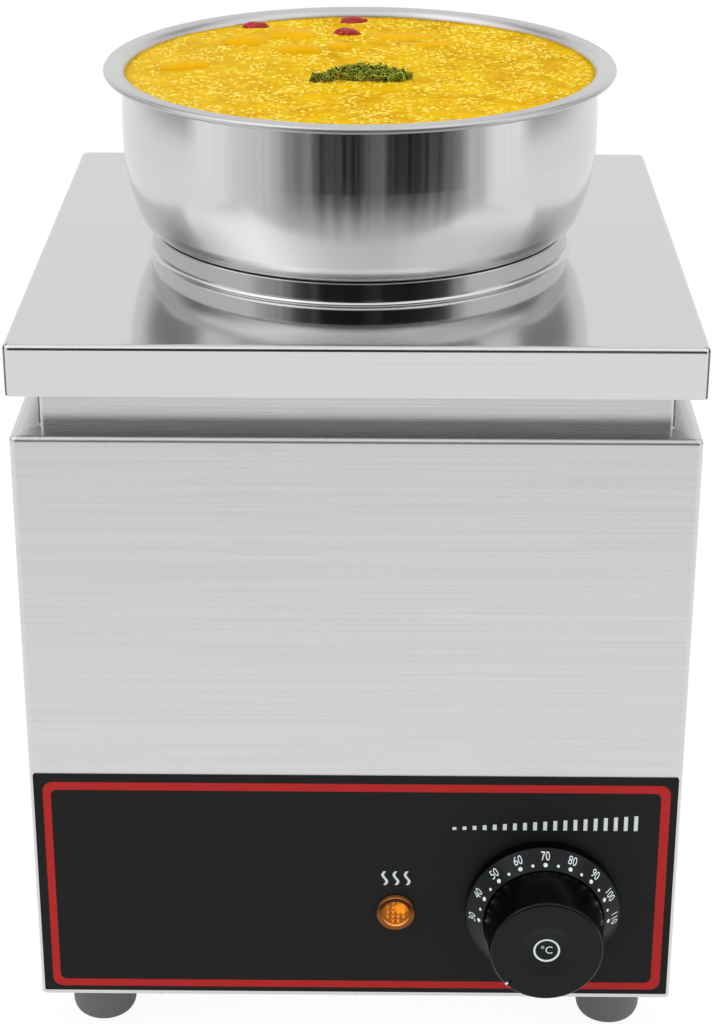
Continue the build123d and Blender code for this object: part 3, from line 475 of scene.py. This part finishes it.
# %% [markdown]
# ## Plastics, rubber and the small metals
#
# The panel is a steel plate under a printed film: near black and satin. The dial and the knob are moulded
# in black phenolic. A moulding shows a faint even grain, and so does plating, so each gets noise at the
# size of its texture. A black surface in a white room would look grey from its own gloss, and these are
# matt enough to swallow most of it, so their specular level is lowered.

# %% Moulded and plated finishes
def moulded(name, hex_value, roughness, grain, relief, specular=0.5, metallic=0.0):
    """A finish with one even grain, its size in millimetres, in the relief and a little in the gloss."""
    material, node, shader = new_finish(name, hex_value, Specular_IOR_Level=specular, Metallic=metallic)
    place = node("TexCoord").outputs["Object"]
    speck = node("TexNoise", {"Vector": place, "Scale": 1 / (grain * mm), "Detail": 2.0})
    gloss = node("MapRange", (speck, 0, 1, roughness - 0.06, roughness + 0.06))
    dents = node("Bump", {"Strength": relief, "Distance": 0.1 * mm, "Height": speck})
    wire(shader, Roughness=gloss, Normal=dents)
    return material


recipes = {
    "panel_film": ("panel_satin_polyester_film", "#171718", 0.42, 0.6, 0.04, 0.15),
    "control_plastic": ("control_moulded_phenolic", "#030304", 0.24, 0.5, 0.03, 0.26),
    "black_nylon": ("gland_moulded_nylon", "#1A1A1A", 0.5, 0.4, 0.15, 0.4),
    "foot_rubber": ("foot_moulded_rubber", "#68686A", 0.62, 0.8, 0.2, 0.3),
    "seal_rubber": ("seal_silicone_rubber", "#8E3B2B", 0.55, 0.6, 0.15),
    "white_moulding": ("terminal_white_polyamide", "#DEDBD2", 0.45, 0.5, 0.1),
    "drawn_steel": ("well_deep_drawn_stainless", "#C4C4C5", 0.3, 1.5, 0.05, 0.5, 1.0),
    "zinc_steel": ("fastener_zinc_plated_steel", "#B9BCC0", 0.32, 0.6, 0.12, 0.5, 1.0),
    "element_sheath": ("element_heat_tinted_steel", "#6E665F", 0.45, 1.0, 0.2, 0.5, 1.0),
    "copper": ("capillary_drawn_copper", "#C98B63", 0.3, 0.5, 0.08, 0.5, 1.0),
    "brass": ("earth_stud_turned_brass", "#D1B064", 0.28, 0.4, 0.08, 0.5, 1.0),
}
finishes = {slot: moulded(*recipe) for slot, recipe in recipes.items()}
for entry in frame["record"]["subparts"]:
    if entry["material_slot"] in finishes:
        give((entry["node"],), finishes[entry["material_slot"]])
print(len(finishes), "finishes for the moulded and plated pieces")

# %% [markdown]
# ## The amber lens
#
# The pilot lamp has a lens of amber acrylic with pyramids moulded in its dished face, lit weakly from
# behind. Real refraction in so small a lens needs many light bounces, so the colour is given to the surface
# by shape: what faces up gathers the light of the room and is pale, what faces down is dark brown, and the
# tips of the pyramids are lighter than the valleys. The ring round them is lit from below by the dish, and
# its upper half and its edge, seen against the black film, are darkest. The lamp stands a little off
# centre, so a brighter patch lies to the upper right.

# %% Amber acrylic
lamp_low, lamp_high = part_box("lamp_lens")
lamp_x = (lamp_low.x + lamp_high.x) / 2
lamp_z = (lamp_low.z + lamp_high.z) / 2
lamp_face = lamp_low.y
dish_edge, ring_edge = 5.2 * mm, 5.5 * mm
brink_from, brink_to = 7.3 * mm, 7.48 * mm
amber, node, shader = new_finish(
    "lens_amber_acrylic", "#D9780F", Roughness=0.14, IOR=1.49, Specular_IOR_Level=0.15,
    Emission_Strength=0.22)
place = node("TexCoord").outputs["Object"]
where = node("SeparateXYZ", (place,)).outputs


def far_from(x, z):
    """How far a point of the lens lies from a line along Y."""
    away = node("VectorMath", (place, (x, 0, z)), operation="SUBTRACT")
    level = node("VectorMath", (away, (1, 0, 1)), operation="MULTIPLY")
    return node("VectorMath", (level,), operation="LENGTH")


facing = node("SeparateXYZ", (node("NewGeometry").outputs["Normal"],)).outputs["Z"]
gather = node("ValToRGB", (node("MapRange", (facing, -0.8, 0.8)),))
gather_stops = ((0.0, "#1C0700"), (0.42, "#2A0A00"), (0.62, "#4E1E04"), (1.0, "#FFAE5E"))
set_ramp(gather, [(position, colour(hex_value)) for position, hex_value in gather_stops])
tooth = node("MapRange", (where["Y"], lamp_face + 1.0 * mm, lamp_face + 0.5 * mm, 0, 0.6))
valley = node("Mix", (0.62, gather, colour("#BE6C0C")))
body = node("Mix", (tooth, valley, colour("#E0922E")))
patch = node("MapRange", (far_from(lamp_x + 2.0 * mm, lamp_z + 1.9 * mm), 3.0 * mm, 1.6 * mm, 0, 0.95))
lit = node("Mix", (patch, body, colour("#FF9A1C")))
out = far_from(lamp_x, lamp_z)
rim = node("MapRange", (out, dish_edge, ring_edge))
shade = node("MapRange", (where["Z"], lamp_z - 1.0 * mm, lamp_z + 3.5 * mm))
wall = node("Mix", (shade, colour("#7A4616"), colour("#240600")))
lip = node("Mix", (1.0, wall, gather), blend_type="LIGHTEN")
ringed = node("Mix", (rim, lit, lip))
brink = node("MapRange", (out, brink_from, brink_to, 0, 0.9))
# Painted light and shade in the base and emission colour: pale where the lens faces up, dark brown where it
# faces down, a painted bright patch to the upper right and a painted dark edge.
painted_lens_light = node("Mix", (brink, ringed, colour("#260C02")))
wire(shader, Base_Color=painted_lens_light, Emission_Color=painted_lens_light)
give(("lamp_lens",), amber)
print("lens", [round(v / mm, 1) for v in lamp_high - lamp_low], "mm")

# %% [markdown]
# ## Printing on the panel
#
# The film is screen printed: a red line runs round the edge, and pale marks stand above the dial and the
# lamp. Ink is a layer of about 0.05 mm, so each mark is a thin flat piece lying on the film. It could be
# drawn in the panel's material instead, but a piece keeps its sharp edge close up. Above the dial a row of
# bars grows from low to high heat, and three wavy lines above the lamp say hot.

# %% Ink and the red line
def piece(name, shape, material, body, smooth=False):
    """Turns a bmesh into a piece with a finish, which rides on a body."""
    mesh = bpy.data.meshes.new(name)
    shape.to_mesh(mesh)
    shape.free()
    mesh.materials.append(material)
    mesh.polygons.foreach_set("use_smooth", [smooth] * len(mesh.polygons))
    made = bpy.data.objects.new(name, mesh)
    scene.collection.objects.link(made)
    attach(made, body)
    return made


def ring_of(shape, outer, inner, thickness):
    """A flat ring between two outlines of as many points, with its edge turned down by a thickness."""
    count = len(outer)
    top = [[shape.verts.new(p) for p in outline] for outline in (outer, inner)]
    foot = [[shape.verts.new(Vector(p) + thickness) for p in outline] for outline in (outer, inner)]
    for i in range(count):
        j = (i + 1) % count
        shape.faces.new((top[0][i], top[0][j], top[1][j], top[1][i]))
        shape.faces.new((foot[0][i], foot[0][j], top[0][j], top[0][i]))
        shape.faces.new((top[1][i], top[1][j], foot[1][j], foot[1][i]))


def rounded(width, height, radius, centre, y):
    """Points round an upright rectangle with rounded corners, in millimetres."""
    points = []
    for turn, (sx, sz) in enumerate(((1, 1), (-1, 1), (-1, -1), (1, -1))):
        for i in range(9):
            angle = (turn + i / 8) * pi / 2
            x = centre[0] + sx * (width / 2 - radius) + radius * cos(angle)
            z = centre[1] + sz * (height / 2 - radius) + radius * sin(angle)
            points.append((x * mm, y, z * mm))
    return points


red_ink = moulded("red_screen_ink", "#AC1B19", 0.45, 0.7, 0.05, 0.2)
pale_ink = moulded("pale_screen_ink", "#CFD6D9", 0.5, 0.4, 0.05, 0.2)
film_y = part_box("control_panel")[0].y
ink = 0.05 * mm
ink_y = film_y - ink
into_panel = Vector((0, ink, 0))
line_outer = rounded(242.1, 93.6, 4.0, (0.35, 72.2), ink_y)
line_inner = rounded(235.5, 87.0, 2.6, (0.05, 72.1), ink_y)
shape = bmesh.new()
ring_of(shape, line_outer, line_inner, into_panel)
piece("panel_red_line", shape, red_ink, "housing")
print("film face at y =", round(film_y / mm, 2), "mm")

# %% Marks above the dial and the lamp
def slab(shape, corners, depth):
    """A thin plate from a loop of corners, with its edge turned down by a depth."""
    top = [shape.verts.new(c) for c in corners]
    foot = [shape.verts.new(Vector(c) + depth) for c in corners]
    shape.faces.new(top)
    for i in range(len(top)):
        j = (i + 1) % len(top)
        shape.faces.new((top[i], foot[i], foot[j], top[j]))


dial_low, dial_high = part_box("dial_ring")
dial_x = (dial_low.x + dial_high.x) / 2
dial_z = (dial_low.z + dial_high.z) / 2
bar_count, bar_pitch, bar_half, bar_foot = 19, 3.9 * mm, 0.75 * mm, 98.9 * mm
bar_lowest, bar_growth = 1.2, 5.4
shape = bmesh.new()
for i in range(bar_count):
    x = dial_x + (i - bar_count // 2) * bar_pitch
    top = bar_foot + (bar_lowest + bar_growth * i / (bar_count - 1)) * mm
    corners = ((-bar_half, bar_foot), (bar_half, bar_foot), (bar_half, top), (-bar_half, top))
    slab(shape, [(x + side, ink_y, z) for side, z in corners], into_panel)
piece("heat_scale_mark", shape, pale_ink, "housing")

wave_pitch, wave_swing, wave_half = 4.4 * mm, 0.8 * mm, 0.55 * mm
wave_foot, wave_height, wave_steps = 73.6, 6.2, 16
shape = bmesh.new()
for wave in (-1, 0, 1):
    left, right = [], []
    for i in range(wave_steps + 1):
        t = i / wave_steps
        x = lamp_x + wave * wave_pitch + wave_swing * sin(2 * pi * t)
        z = (wave_foot + wave_height * t) * mm
        left.append((x - wave_half, ink_y, z))
        right.append((x + wave_half, ink_y, z))
    for i in range(wave_steps):
        slab(shape, [left[i], right[i], right[i + 1], left[i + 1]], into_panel)
piece("hot_mark", shape, pale_ink, "housing")
print("dial axis at", round(dial_x / mm, 2), round(dial_z / mm, 2), "lamp at", round(lamp_x / mm, 2))

# %% [markdown]
# ## The scale on the dial
#
# The fixed ring of the dial is a cone, and its scale is printed on the slope: a number and a large dot at
# every ten degrees from 30 to 110, and a small dot between. Each mark is set on the cone by a matrix whose
# three columns point along the scale, out across the slope and straight off the surface.

# %% Numbers and dots
dial_front = dial_high.y - dial_low.y
dial_outer = (dial_high.x - dial_low.x) / 2
edge_height, mouth_radius = 4.9 * mm, 23.7 * mm
cone_rise, cone_run = dial_front - edge_height, dial_outer - mouth_radius
slope = atan(cone_rise / cone_run)


def on_cone(radius, bearing):
    """A place on the dial's slope: radius in mm and degrees clockwise from the top."""
    a = radians(bearing)
    out = Vector((sin(a), 0, cos(a)))
    round_it = Vector((cos(a), 0, -sin(a)))
    across = out * cos(slope) + Vector((0, 1, 0)) * sin(slope)
    off = round_it.cross(across)
    height = edge_height + (dial_outer - radius * mm) * cone_rise / cone_run
    spot = Vector((dial_x, dial_high.y - height, dial_z)) + out * radius * mm + off * ink
    return Matrix.Translation(spot) @ Matrix((round_it, across, off)).transposed().to_4x4()


def figure(text, size, squeeze):
    """The outline of some figures as a flat mesh, middle on the origin."""
    letters = bpy.data.curves.new("figures", "FONT")
    letters.body = text
    letters.size = size * mm
    letters.align_x = letters.align_y = "CENTER"
    letters.resolution_u = 4
    holder = bpy.data.objects.new("figures", letters)
    scene.collection.objects.link(holder)
    bpy.context.view_layer.update()
    mesh = bpy.data.meshes.new_from_object(holder.evaluated_get(bpy.context.evaluated_depsgraph_get()))
    mesh.transform(Matrix.Diagonal((squeeze, 1, 1, 1)))
    bpy.data.objects.remove(holder)
    bpy.data.curves.remove(letters)
    return mesh


dot_circle, number_circle = 25.2, 27.6
large_dot, small_dot = 0.85, 0.6
digit_size, digit_squeeze = 5.1, 0.72
first_heat, heat_step, first_bearing, bearing_step = 30, 5, -90, 11.25
shape = bmesh.new()
for step in range(17):
    heat = first_heat + heat_step * step
    bearing = first_bearing + bearing_step * step
    bmesh.ops.create_circle(shape, cap_ends=True, segments=20, matrix=on_cone(dot_circle, bearing),
                            radius=(large_dot if heat % 10 == 0 else small_dot) * mm)
    if heat % 10 == 0:
        digits = figure(str(heat), digit_size, digit_squeeze)
        digits.transform(on_cone(number_circle, bearing))
        shape.from_mesh(digits)
        bpy.data.meshes.remove(digits)
dial_ink = moulded("dial_pad_print", "#D5E2E6", 0.5, 0.4, 0.03, 0.2)
piece("dial_scale", shape, dial_ink, "housing")
print("scale on a slope of", round(slope * 180 / pi, 1), "degrees")

# %% [markdown]
# ## Marks on the knob
#
# The knob's pointer is a groove at the rim of its face, filled with white paint, and turns with the knob.
# The dish in the middle carries a printed ring with the sign for degrees Celsius. The ring follows the
# dish, so its points are set back to the depth of the sphere that the dish is cut with.

# %% Pointer paint and centre ring
knob_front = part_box("knob")[0].y
dish_depth, dish_radius = 1.6 * mm, 11.0 * mm
sphere = (dish_radius**2 + dish_depth**2) / (2 * dish_depth)
ring_outer, ring_inner, sign_reach = 5.1 * mm, 4.35 * mm, 4.0 * mm
sign_size, sign_squeeze = 4.6, 0.95
pointer_bearing, pointer_half, pointer_depth = radians(-134.0), 0.45 * mm, 0.3 * mm
pointer_in, pointer_out, pointer_sunk = 20.2 * mm, 21.4 * mm, 0.12 * mm


def on_dish(radius, angle):
    """A point just off the dish, by radius and angle about the knob's axis."""
    depth = dish_depth - sphere + sqrt(sphere**2 - radius**2)
    return (dial_x + radius * cos(angle), knob_front + depth - ink, dial_z + radius * sin(angle))


shape = bmesh.new()
circle = [2 * pi * i / 64 for i in range(64)]
outer, inner = [[on_dish(radius, a) for a in circle] for radius in (ring_outer, ring_inner)]
ring_of(shape, outer, inner, into_panel)
sign = figure("°C", sign_size, sign_squeeze)
sign_place = Matrix.Translation((dial_x, on_dish(sign_reach, 0)[1], dial_z))
sign.transform(sign_place @ Matrix.Rotation(pi / 2, 4, "X"))
shape.from_mesh(sign)
bpy.data.meshes.remove(sign)
piece("knob_centre_mark", shape, dial_ink, "knob")

shape = bmesh.new()
out = Vector((sin(pointer_bearing), 0, cos(pointer_bearing)))
wide = Vector((cos(pointer_bearing), 0, -sin(pointer_bearing)))
middle = Vector((dial_x, knob_front + pointer_sunk, dial_z))
corners = ((pointer_in, -pointer_half), (pointer_in, pointer_half), (pointer_out, pointer_half),
           (pointer_out, -pointer_half))
slab(shape, [middle + out * r + wide * w for r, w in corners], Vector((0, pointer_depth, 0)))
piece("knob_pointer_paint", shape, dial_ink, "knob")
print("knob face at y =", round(knob_front / mm, 2), "mm")

# %% [markdown]
# ## The weld round the collar
#
# The collar is welded into the cover from above, and the weld is dressed to a hollow fillet. Its section, a
# quarter of a circle with its back to the corner, is turned round the pot's axis. It shows as a bright line
# at the collar's foot and as a wider one in the cover. The two long edges are marked sharp, so that the
# smooth shading of the hollow doesn't run over into the back.

# %% Weld fillet
turns = 180


def ring(shape, radius, height):
    """Points round the pot's axis. The height is a number, or a function of the place."""
    points = []
    for i in range(turns):
        x = radius * cos(2 * pi * i / turns)
        y = radius * sin(2 * pi * i / turns)
        z = height(x, y) if callable(height) else height
        points.append(shape.verts.new((x, y, z)))
    return points


def fill_between(shape, first, second):
    """A band of faces between two rings of as many points."""
    for i in range(len(first)):
        j = (i + 1) % len(first)
        shape.faces.new((first[i], first[j], second[j], second[i]))


weld_leg = 2.0 * mm
weld_sunk = 0.1 * mm
collar_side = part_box("pot_collar")[1].x
cover_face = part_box("top_cover")[1].z
hollow = [pi + pi / 2 * i / 12 for i in range(13)]
section = [(collar_side + weld_leg * (1 + cos(a)), cover_face + weld_leg * (1 + sin(a))) for a in hollow]
section.append((collar_side - weld_sunk, cover_face - weld_sunk))
shape = bmesh.new()
rings = [ring(shape, radius, height) for radius, height in section]
for first, second in zip(rings, rings[1:] + rings[:1]):
    fill_between(shape, first, second)
for border in (rings[0], rings[-2]):
    for i in range(turns):
        shape.edges.get((border[i], border[(i + 1) % turns])).smooth = False
bmesh.ops.recalc_face_normals(shape, faces=shape.faces)
piece("collar_weld", shape, collar_steel, "housing", smooth=True)
print("weld", round(weld_leg / mm, 1), "mm high at a radius of", round(collar_side / mm, 1), "mm")

# %% [markdown]
# ## Porridge in the pot
#
# The pot is full almost to the rim: a thick porridge of pumpkin and rice. Thick food doesn't lie as flat as
# water, so its top is a round grid lifted by two sizes of noise, with a slight creep up the wall. The food
# fills the pot to its floor, and a ray from the axis finds the steel at each height, so the body of the
# porridge takes the pot's own shape. The food moves with the pot, and no solid stands for it.

# %% Fill the pot
soup_top = 366.2 * mm
pot_floor = 150.7 * mm
swell_size, swell_rise = 22 * mm, 0.35
lump_size, lump_rise = 4.5 * mm, 0.28
creep_reach, creep_rise = 2.5 * mm, 0.5
bpy.context.view_layer.update()


def wall_radius(height):
    """The pot's inner radius at a height, found by a ray from its axis."""
    spot = nodes["pot"].ray_cast((0, 0, height), (1, 0, 0))[1]
    return hypot(spot.x, spot.y)


soup_radius = wall_radius(soup_top)


def soup_height(x, y):
    """The top of the porridge at a place: low swells, small lumps and a creep up the wall."""
    swell = noise.noise((x / swell_size, y / swell_size, 0.0))
    lumps = noise.noise((x / lump_size, y / lump_size, 7.0))
    creep = max(0.0, 1 - (soup_radius - hypot(x, y)) / creep_reach) ** 2
    return soup_top + (swell_rise * swell + lump_rise * lumps + creep_rise * creep) * mm


into_wall = 0.1 * mm
belly_steps = [soup_top - 4.0 * mm * i for i in range(1, 17)]
corner_steps = [pot_floor + (12.0 - 3.0 * i) * mm for i in range(5)]
shape = bmesh.new()
rings = [ring(shape, soup_radius * i / 60, soup_height) for i in range(1, 60)]
rings.append(ring(shape, soup_radius + into_wall, soup_height))
for height in belly_steps + corner_steps:
    rings.append(ring(shape, wall_radius(height) + into_wall, height))
for first, second in zip(rings, rings[1:]):
    fill_between(shape, first, second)
shape.faces.new(rings[0])
shape.faces.new(rings[-1])
bmesh.ops.recalc_face_normals(shape, faces=shape.faces)

porridge, node, shader = new_finish(
    "porridge_boiled_pumpkin", "#DFA307", Roughness=0.5, Specular_IOR_Level=0.01, Subsurface_Weight=0.25,
    Subsurface_Scale=2.0 * mm)
place = node("TexCoord").outputs["Object"]
patch = node("TexNoise", {"Vector": place, "Scale": 1 / (15 * mm), "Detail": 3.0})
thick = node("MapRange", (patch, 0.35, 0.65))
base = node("Mix", (thick, colour("#C89200"), colour("#DEAE00")))
clump = node("TexNoise", {"Vector": place, "Scale": 1 / (3.4 * mm), "Detail": 4.0, "Roughness": 0.7})
mash = node("MapRange", (clump, 0.48, 0.68, 0, 0.6))
speckled = node("Mix", (mash, base, colour("#EACA20")))
# The colour of the porridge grows paler towards the left side of the pot.
side = node("SeparateXYZ", (place,)).outputs["X"]
paler_to_left = node("MapRange", (side, -20 * mm, -85 * mm, 0, 0.3))
left_paled = node("Mix", (paler_to_left, speckled, colour("#E4BA40")))
skin = node("Bump", {"Strength": 0.35, "Distance": 0.4 * mm, "Height": clump})
wire(shader, Base_Color=left_paled, Normal=skin)
piece("porridge", shape, porridge, "pot", smooth=True)
print("porridge", round(soup_radius / mm, 1), "mm in radius,", round((soup_top - pot_floor) / mm), "mm deep")

# %% [markdown]
# ## Grains of rice
#
# Boiled grains lie in the top of the porridge, in loose clusters, and only their backs show. Each is a
# small ellipsoid with its own size and turn, set where a slow noise says that there is a cluster. They are
# one mesh, and the shader gives each island of it a tone of its own. Blender lists the faces of a sphere in
# no set order, so they are sorted first, and every run gives the same tones.

# %% Scatter the grains
chance = random.Random(7)
grain_count = 3600
grain_limits = ((0.9, 1.7), (0.5, 0.8), (0.42, 0.55))
grain_sunk, cluster_size, from_wall = 0.2 * mm, 12 * mm, 1.5 * mm
ball = bmesh.new()
bmesh.ops.create_uvsphere(ball, u_segments=6, v_segments=5, radius=1.0)
ball_points = [v.co.copy() for v in ball.verts]
ball_faces = sorted([v.index for v in f.verts] for f in ball.faces)
ball.free()
shape = bmesh.new()
made = 0
while made < grain_count:
    reach = (soup_radius - from_wall) * sqrt(chance.random())
    bearing = chance.uniform(0, 2 * pi)
    x = reach * cos(bearing)
    y = reach * sin(bearing)
    cluster = noise.noise((x / cluster_size, y / cluster_size, 3.0))
    if cluster + chance.uniform(-0.5, 0.5) < 0.02:
        continue
    size = [chance.uniform(*limits) * mm for limits in grain_limits]
    seat = Matrix.Translation((x, y, soup_height(x, y) - grain_sunk))
    seat = seat @ Matrix.Rotation(chance.uniform(0, pi), 4, "Z")
    seat = seat @ Matrix.Rotation(chance.gauss(0, 0.15), 4, "Y")
    seat = seat @ Matrix.Diagonal(size + [1])
    points = [shape.verts.new(seat @ p) for p in ball_points]
    for loop in ball_faces:
        shape.faces.new([points[i] for i in loop])
    made += 1
rice, node, shader = new_finish(
    "rice_boiled_grain", "#F6DE86", Roughness=0.42, Specular_IOR_Level=0.04, Subsurface_Weight=0.3,
    Subsurface_Scale=1.0 * mm)
own = node("NewGeometry").outputs["Random Per Island"]
tint = node("Mix", (own, colour("#DEB408"), colour("#F2DC68")))
wire(shader, Base_Color=tint)
piece("rice_grains", shape, rice, "pot", smooth=True)
print(made, "grains")

# %% [markdown]
# ## Pumpkin and berries
#
# Diced pumpkin with soft corners floats in the rear half of the pot, and three wrinkled red berries float
# among it. Both are made from a sphere: a power above two squares it into a rounded block, and noise dents
# it. Each floats with most of its bulk under the surface.

# %% Chunks and berries
def morsel(shape, spot, size, yaw, power, dent, dent_size, above):
    """A rounded lump afloat: place and size in mm, yaw in degrees, and how far it stands above the top."""
    x, y = spot[0] * mm, spot[1] * mm
    lump = bmesh.ops.create_icosphere(shape, subdivisions=3, radius=1.0)["verts"]
    turn = Matrix.Rotation(radians(yaw), 4, "Z")
    top = soup_height(x, y) + above * mm
    for vert in lump:
        way = vert.co.normalized()
        reach = sum(abs(c) ** power for c in way) ** (-1 / power)
        reach *= 1 + dent * noise.noise(way * dent_size + Vector((x, y, 0)) / mm)
        half = Vector((way.x * size[0], way.y * size[1], way.z * size[2])) * reach * mm / 2
        vert.co = turn @ half + Vector((x, y, top - size[2] * mm / 2))


def flesh(name, hex_value, hex_dark, hex_light, limits, grain, detail, relief, depth, **sockets):
    """Food in two tones of a noise, its grain in millimetres, which also dents it."""
    material, node, shader = new_finish(name, hex_value, **sockets)
    place = node("TexCoord").outputs["Object"]
    fibre = node("TexNoise", {"Vector": place, "Scale": 1 / (grain * mm), "Detail": detail})
    share = node("MapRange", (fibre, *limits))
    tone = node("Mix", (share, colour(hex_dark), colour(hex_light)))
    dents = node("Bump", {"Strength": relief, "Distance": depth * mm, "Height": fibre})
    wire(shader, Base_Color=tone, Normal=dents)
    return material


chunks = [((-47, 46), (18, 12, 9), 6, 2.6), ((-25, 33), (19, 10, 8), -4, 2.2),
          ((-29, 59), (22, 16, 10), 3, 2.0), ((-69, 3), (20, 10, 8), 25, 2.2),
          ((-9, 36), (9, 9, 7), 20, 2.0), ((17, 57), (34, 11, 9), -2, 0.8), ((30, 44), (20, 8, 8), 8, 0.7)]
shape = bmesh.new()
for spot, size, yaw, above in chunks:
    morsel(shape, spot, size, yaw, 4.0, 0.1, 1.6, above)
pumpkin = flesh("pumpkin_boiled_flesh", "#E09400", "#D49A04", "#E8B80C", (0, 1), 2.5, 4.0, 0.3, 0.3,
                Roughness=0.45, Specular_IOR_Level=0.03, Subsurface_Weight=0.1, Subsurface_Scale=2.0 * mm)
piece("pumpkin_chunks", shape, pumpkin, "pot", smooth=True)

berries = (((-44, 74), 4), ((-6, 62), -12), ((-3.4, 84), 6))
shape = bmesh.new()
for spot, yaw in berries:
    morsel(shape, spot, (11, 6.5, 5.5), yaw, 2.2, 0.28, 3.2, 2.2)
berry = flesh("berry_dried_skin", "#A01016", "#6E0A0E", "#C3262A", (0.35, 0.65), 1.4, 3.0, 0.6, 0.5,
              Roughness=0.32, Specular_IOR_Level=0.35)
piece("berries", shape, berry, "pot", smooth=True)
print(len(chunks), "chunks and", len(berries), "berries")

# %% [markdown]
# ## A sprig of parsley
#
# A curly parsley leaf is a crowd of small frills. Each frill here is a fan whose edge waves up and down more
# than its middle, which is how a leaf that grows too fast at its edge crinkles. The fans stand in clusters
# along a low arch that rests on the porridge. A colour attribute runs from the middle of each fan to its
# edge, so that the shader can paint the middles in near black shade and the edges with a pale highlight.

# %% Frilled leaves
def frill(shape, edge, seat, radius, waves, lift):
    """A crinkled fan at a matrix, its radius in millimetres."""
    spokes, steps, half_spread = 12, 3, 110
    rows = []
    for r in range(1, steps + 1):
        share = r / steps
        row = []
        for i in range(spokes + 1):
            angle = radians(-half_spread + 2 * half_spread * i / spokes)
            wave = lift * share**2 * sin(waves * angle)
            out = radius * share * (1 + 0.12 * cos(2 * waves * angle))
            point = Vector((out * sin(angle), out * cos(angle), wave + 0.35 * out * share))
            row.append(shape.verts.new(seat @ point * mm))
        rows.append(row)
    for r, (low, high) in enumerate(zip(rows, rows[1:])):
        for i in range(spokes):
            face = shape.faces.new((low[i], low[i + 1], high[i + 1], high[i]))
            for loop, share in zip(face.loops, (r, r, r + 1, r + 1)):
                loop[edge] = (share / (steps - 1),) * 3 + (1.0,)


arch = [(-17, -20, 0.8), (-14, -18, 1.3), (-11, -16, 2.0), (-8, -14, 2.6), (-5, -13, 3.0), (-2, -12, 3.0),
        (1, -11, 3.2), (4, -12, 3.0), (7, -13, 2.9), (10, -14, 2.6), (13, -15, 2.2), (16, -15, 1.6),
        (19, -15, 0.9), (-4, -17, 1.4), (0, -18, 1.2), (4, -18, 1.4), (8, -19, 1.3), (12, -19, 1.2),
        (-12, -20, 0.9), (16, -18, 0.9), (-8, -17, 1.5), (-2, -15, 2.1), (2, -15, 2.3), (6, -16, 2.1),
        (10, -17, 1.8), (14, -17, 1.4)]
frills = 23
chance = random.Random(21)
shape = bmesh.new()
edge = shape.loops.layers.float_color.new("edge")
for x, y, rise in arch:
    ground = soup_height(x * mm, y * mm) / mm
    for i in range(frills):
        lean = Vector((chance.gauss(0, 1), chance.gauss(0, 1), abs(chance.gauss(0.5, 0.7)))).normalized()
        spot = Vector((x, y, ground + rise)) + lean * chance.uniform(0.3, 2.1)
        face_out = lean.to_track_quat("Y", "Z").to_matrix().to_4x4()
        roll = Matrix.Rotation(chance.uniform(0, 2 * pi), 4, "Y")
        frill(shape, edge, Matrix.Translation(spot) @ face_out @ roll, chance.uniform(0.7, 1.2),
              chance.choice((4, 5, 6)), chance.uniform(0.3, 0.5))
parsley, node, shader = new_finish("parsley_curled_leaf", "#3A621A", Roughness=0.4, Specular_IOR_Level=0.12)
fringe = node("MapRange", (node("VertexColor", layer_name="edge"), 0.45))
own = node("NewGeometry").outputs["Random Per Island"]
# Painted shade and highlight: the middle of each frill is near black, and its edge a pale yellow-green.
leaf = node("Mix", (own, colour("#060C00"), colour("#1A2C02")))
edge_highlight = node("Mix", (own, colour("#425A04"), colour("#D2DC54")))
painted_leaf_light = node("Mix", (fringe, leaf, edge_highlight))
wire(shader, Base_Color=painted_leaf_light)
sprig = piece("parsley_sprig", shape, parsley, "pot", smooth=True)
leaf_depth = sprig.modifiers.new("leaf_depth", "SOLIDIFY")
leaf_depth.thickness = 0.15 * mm
sprig_top = max(v.co.z for v in sprig.data.vertices)
print("sprig of", len(arch) * frills, "frills, top at", round(sprig_top / mm, 1), "mm")

# %% [markdown]
# ## Finish

# %% Set the view transform
scene.view_settings.view_transform = "Standard"
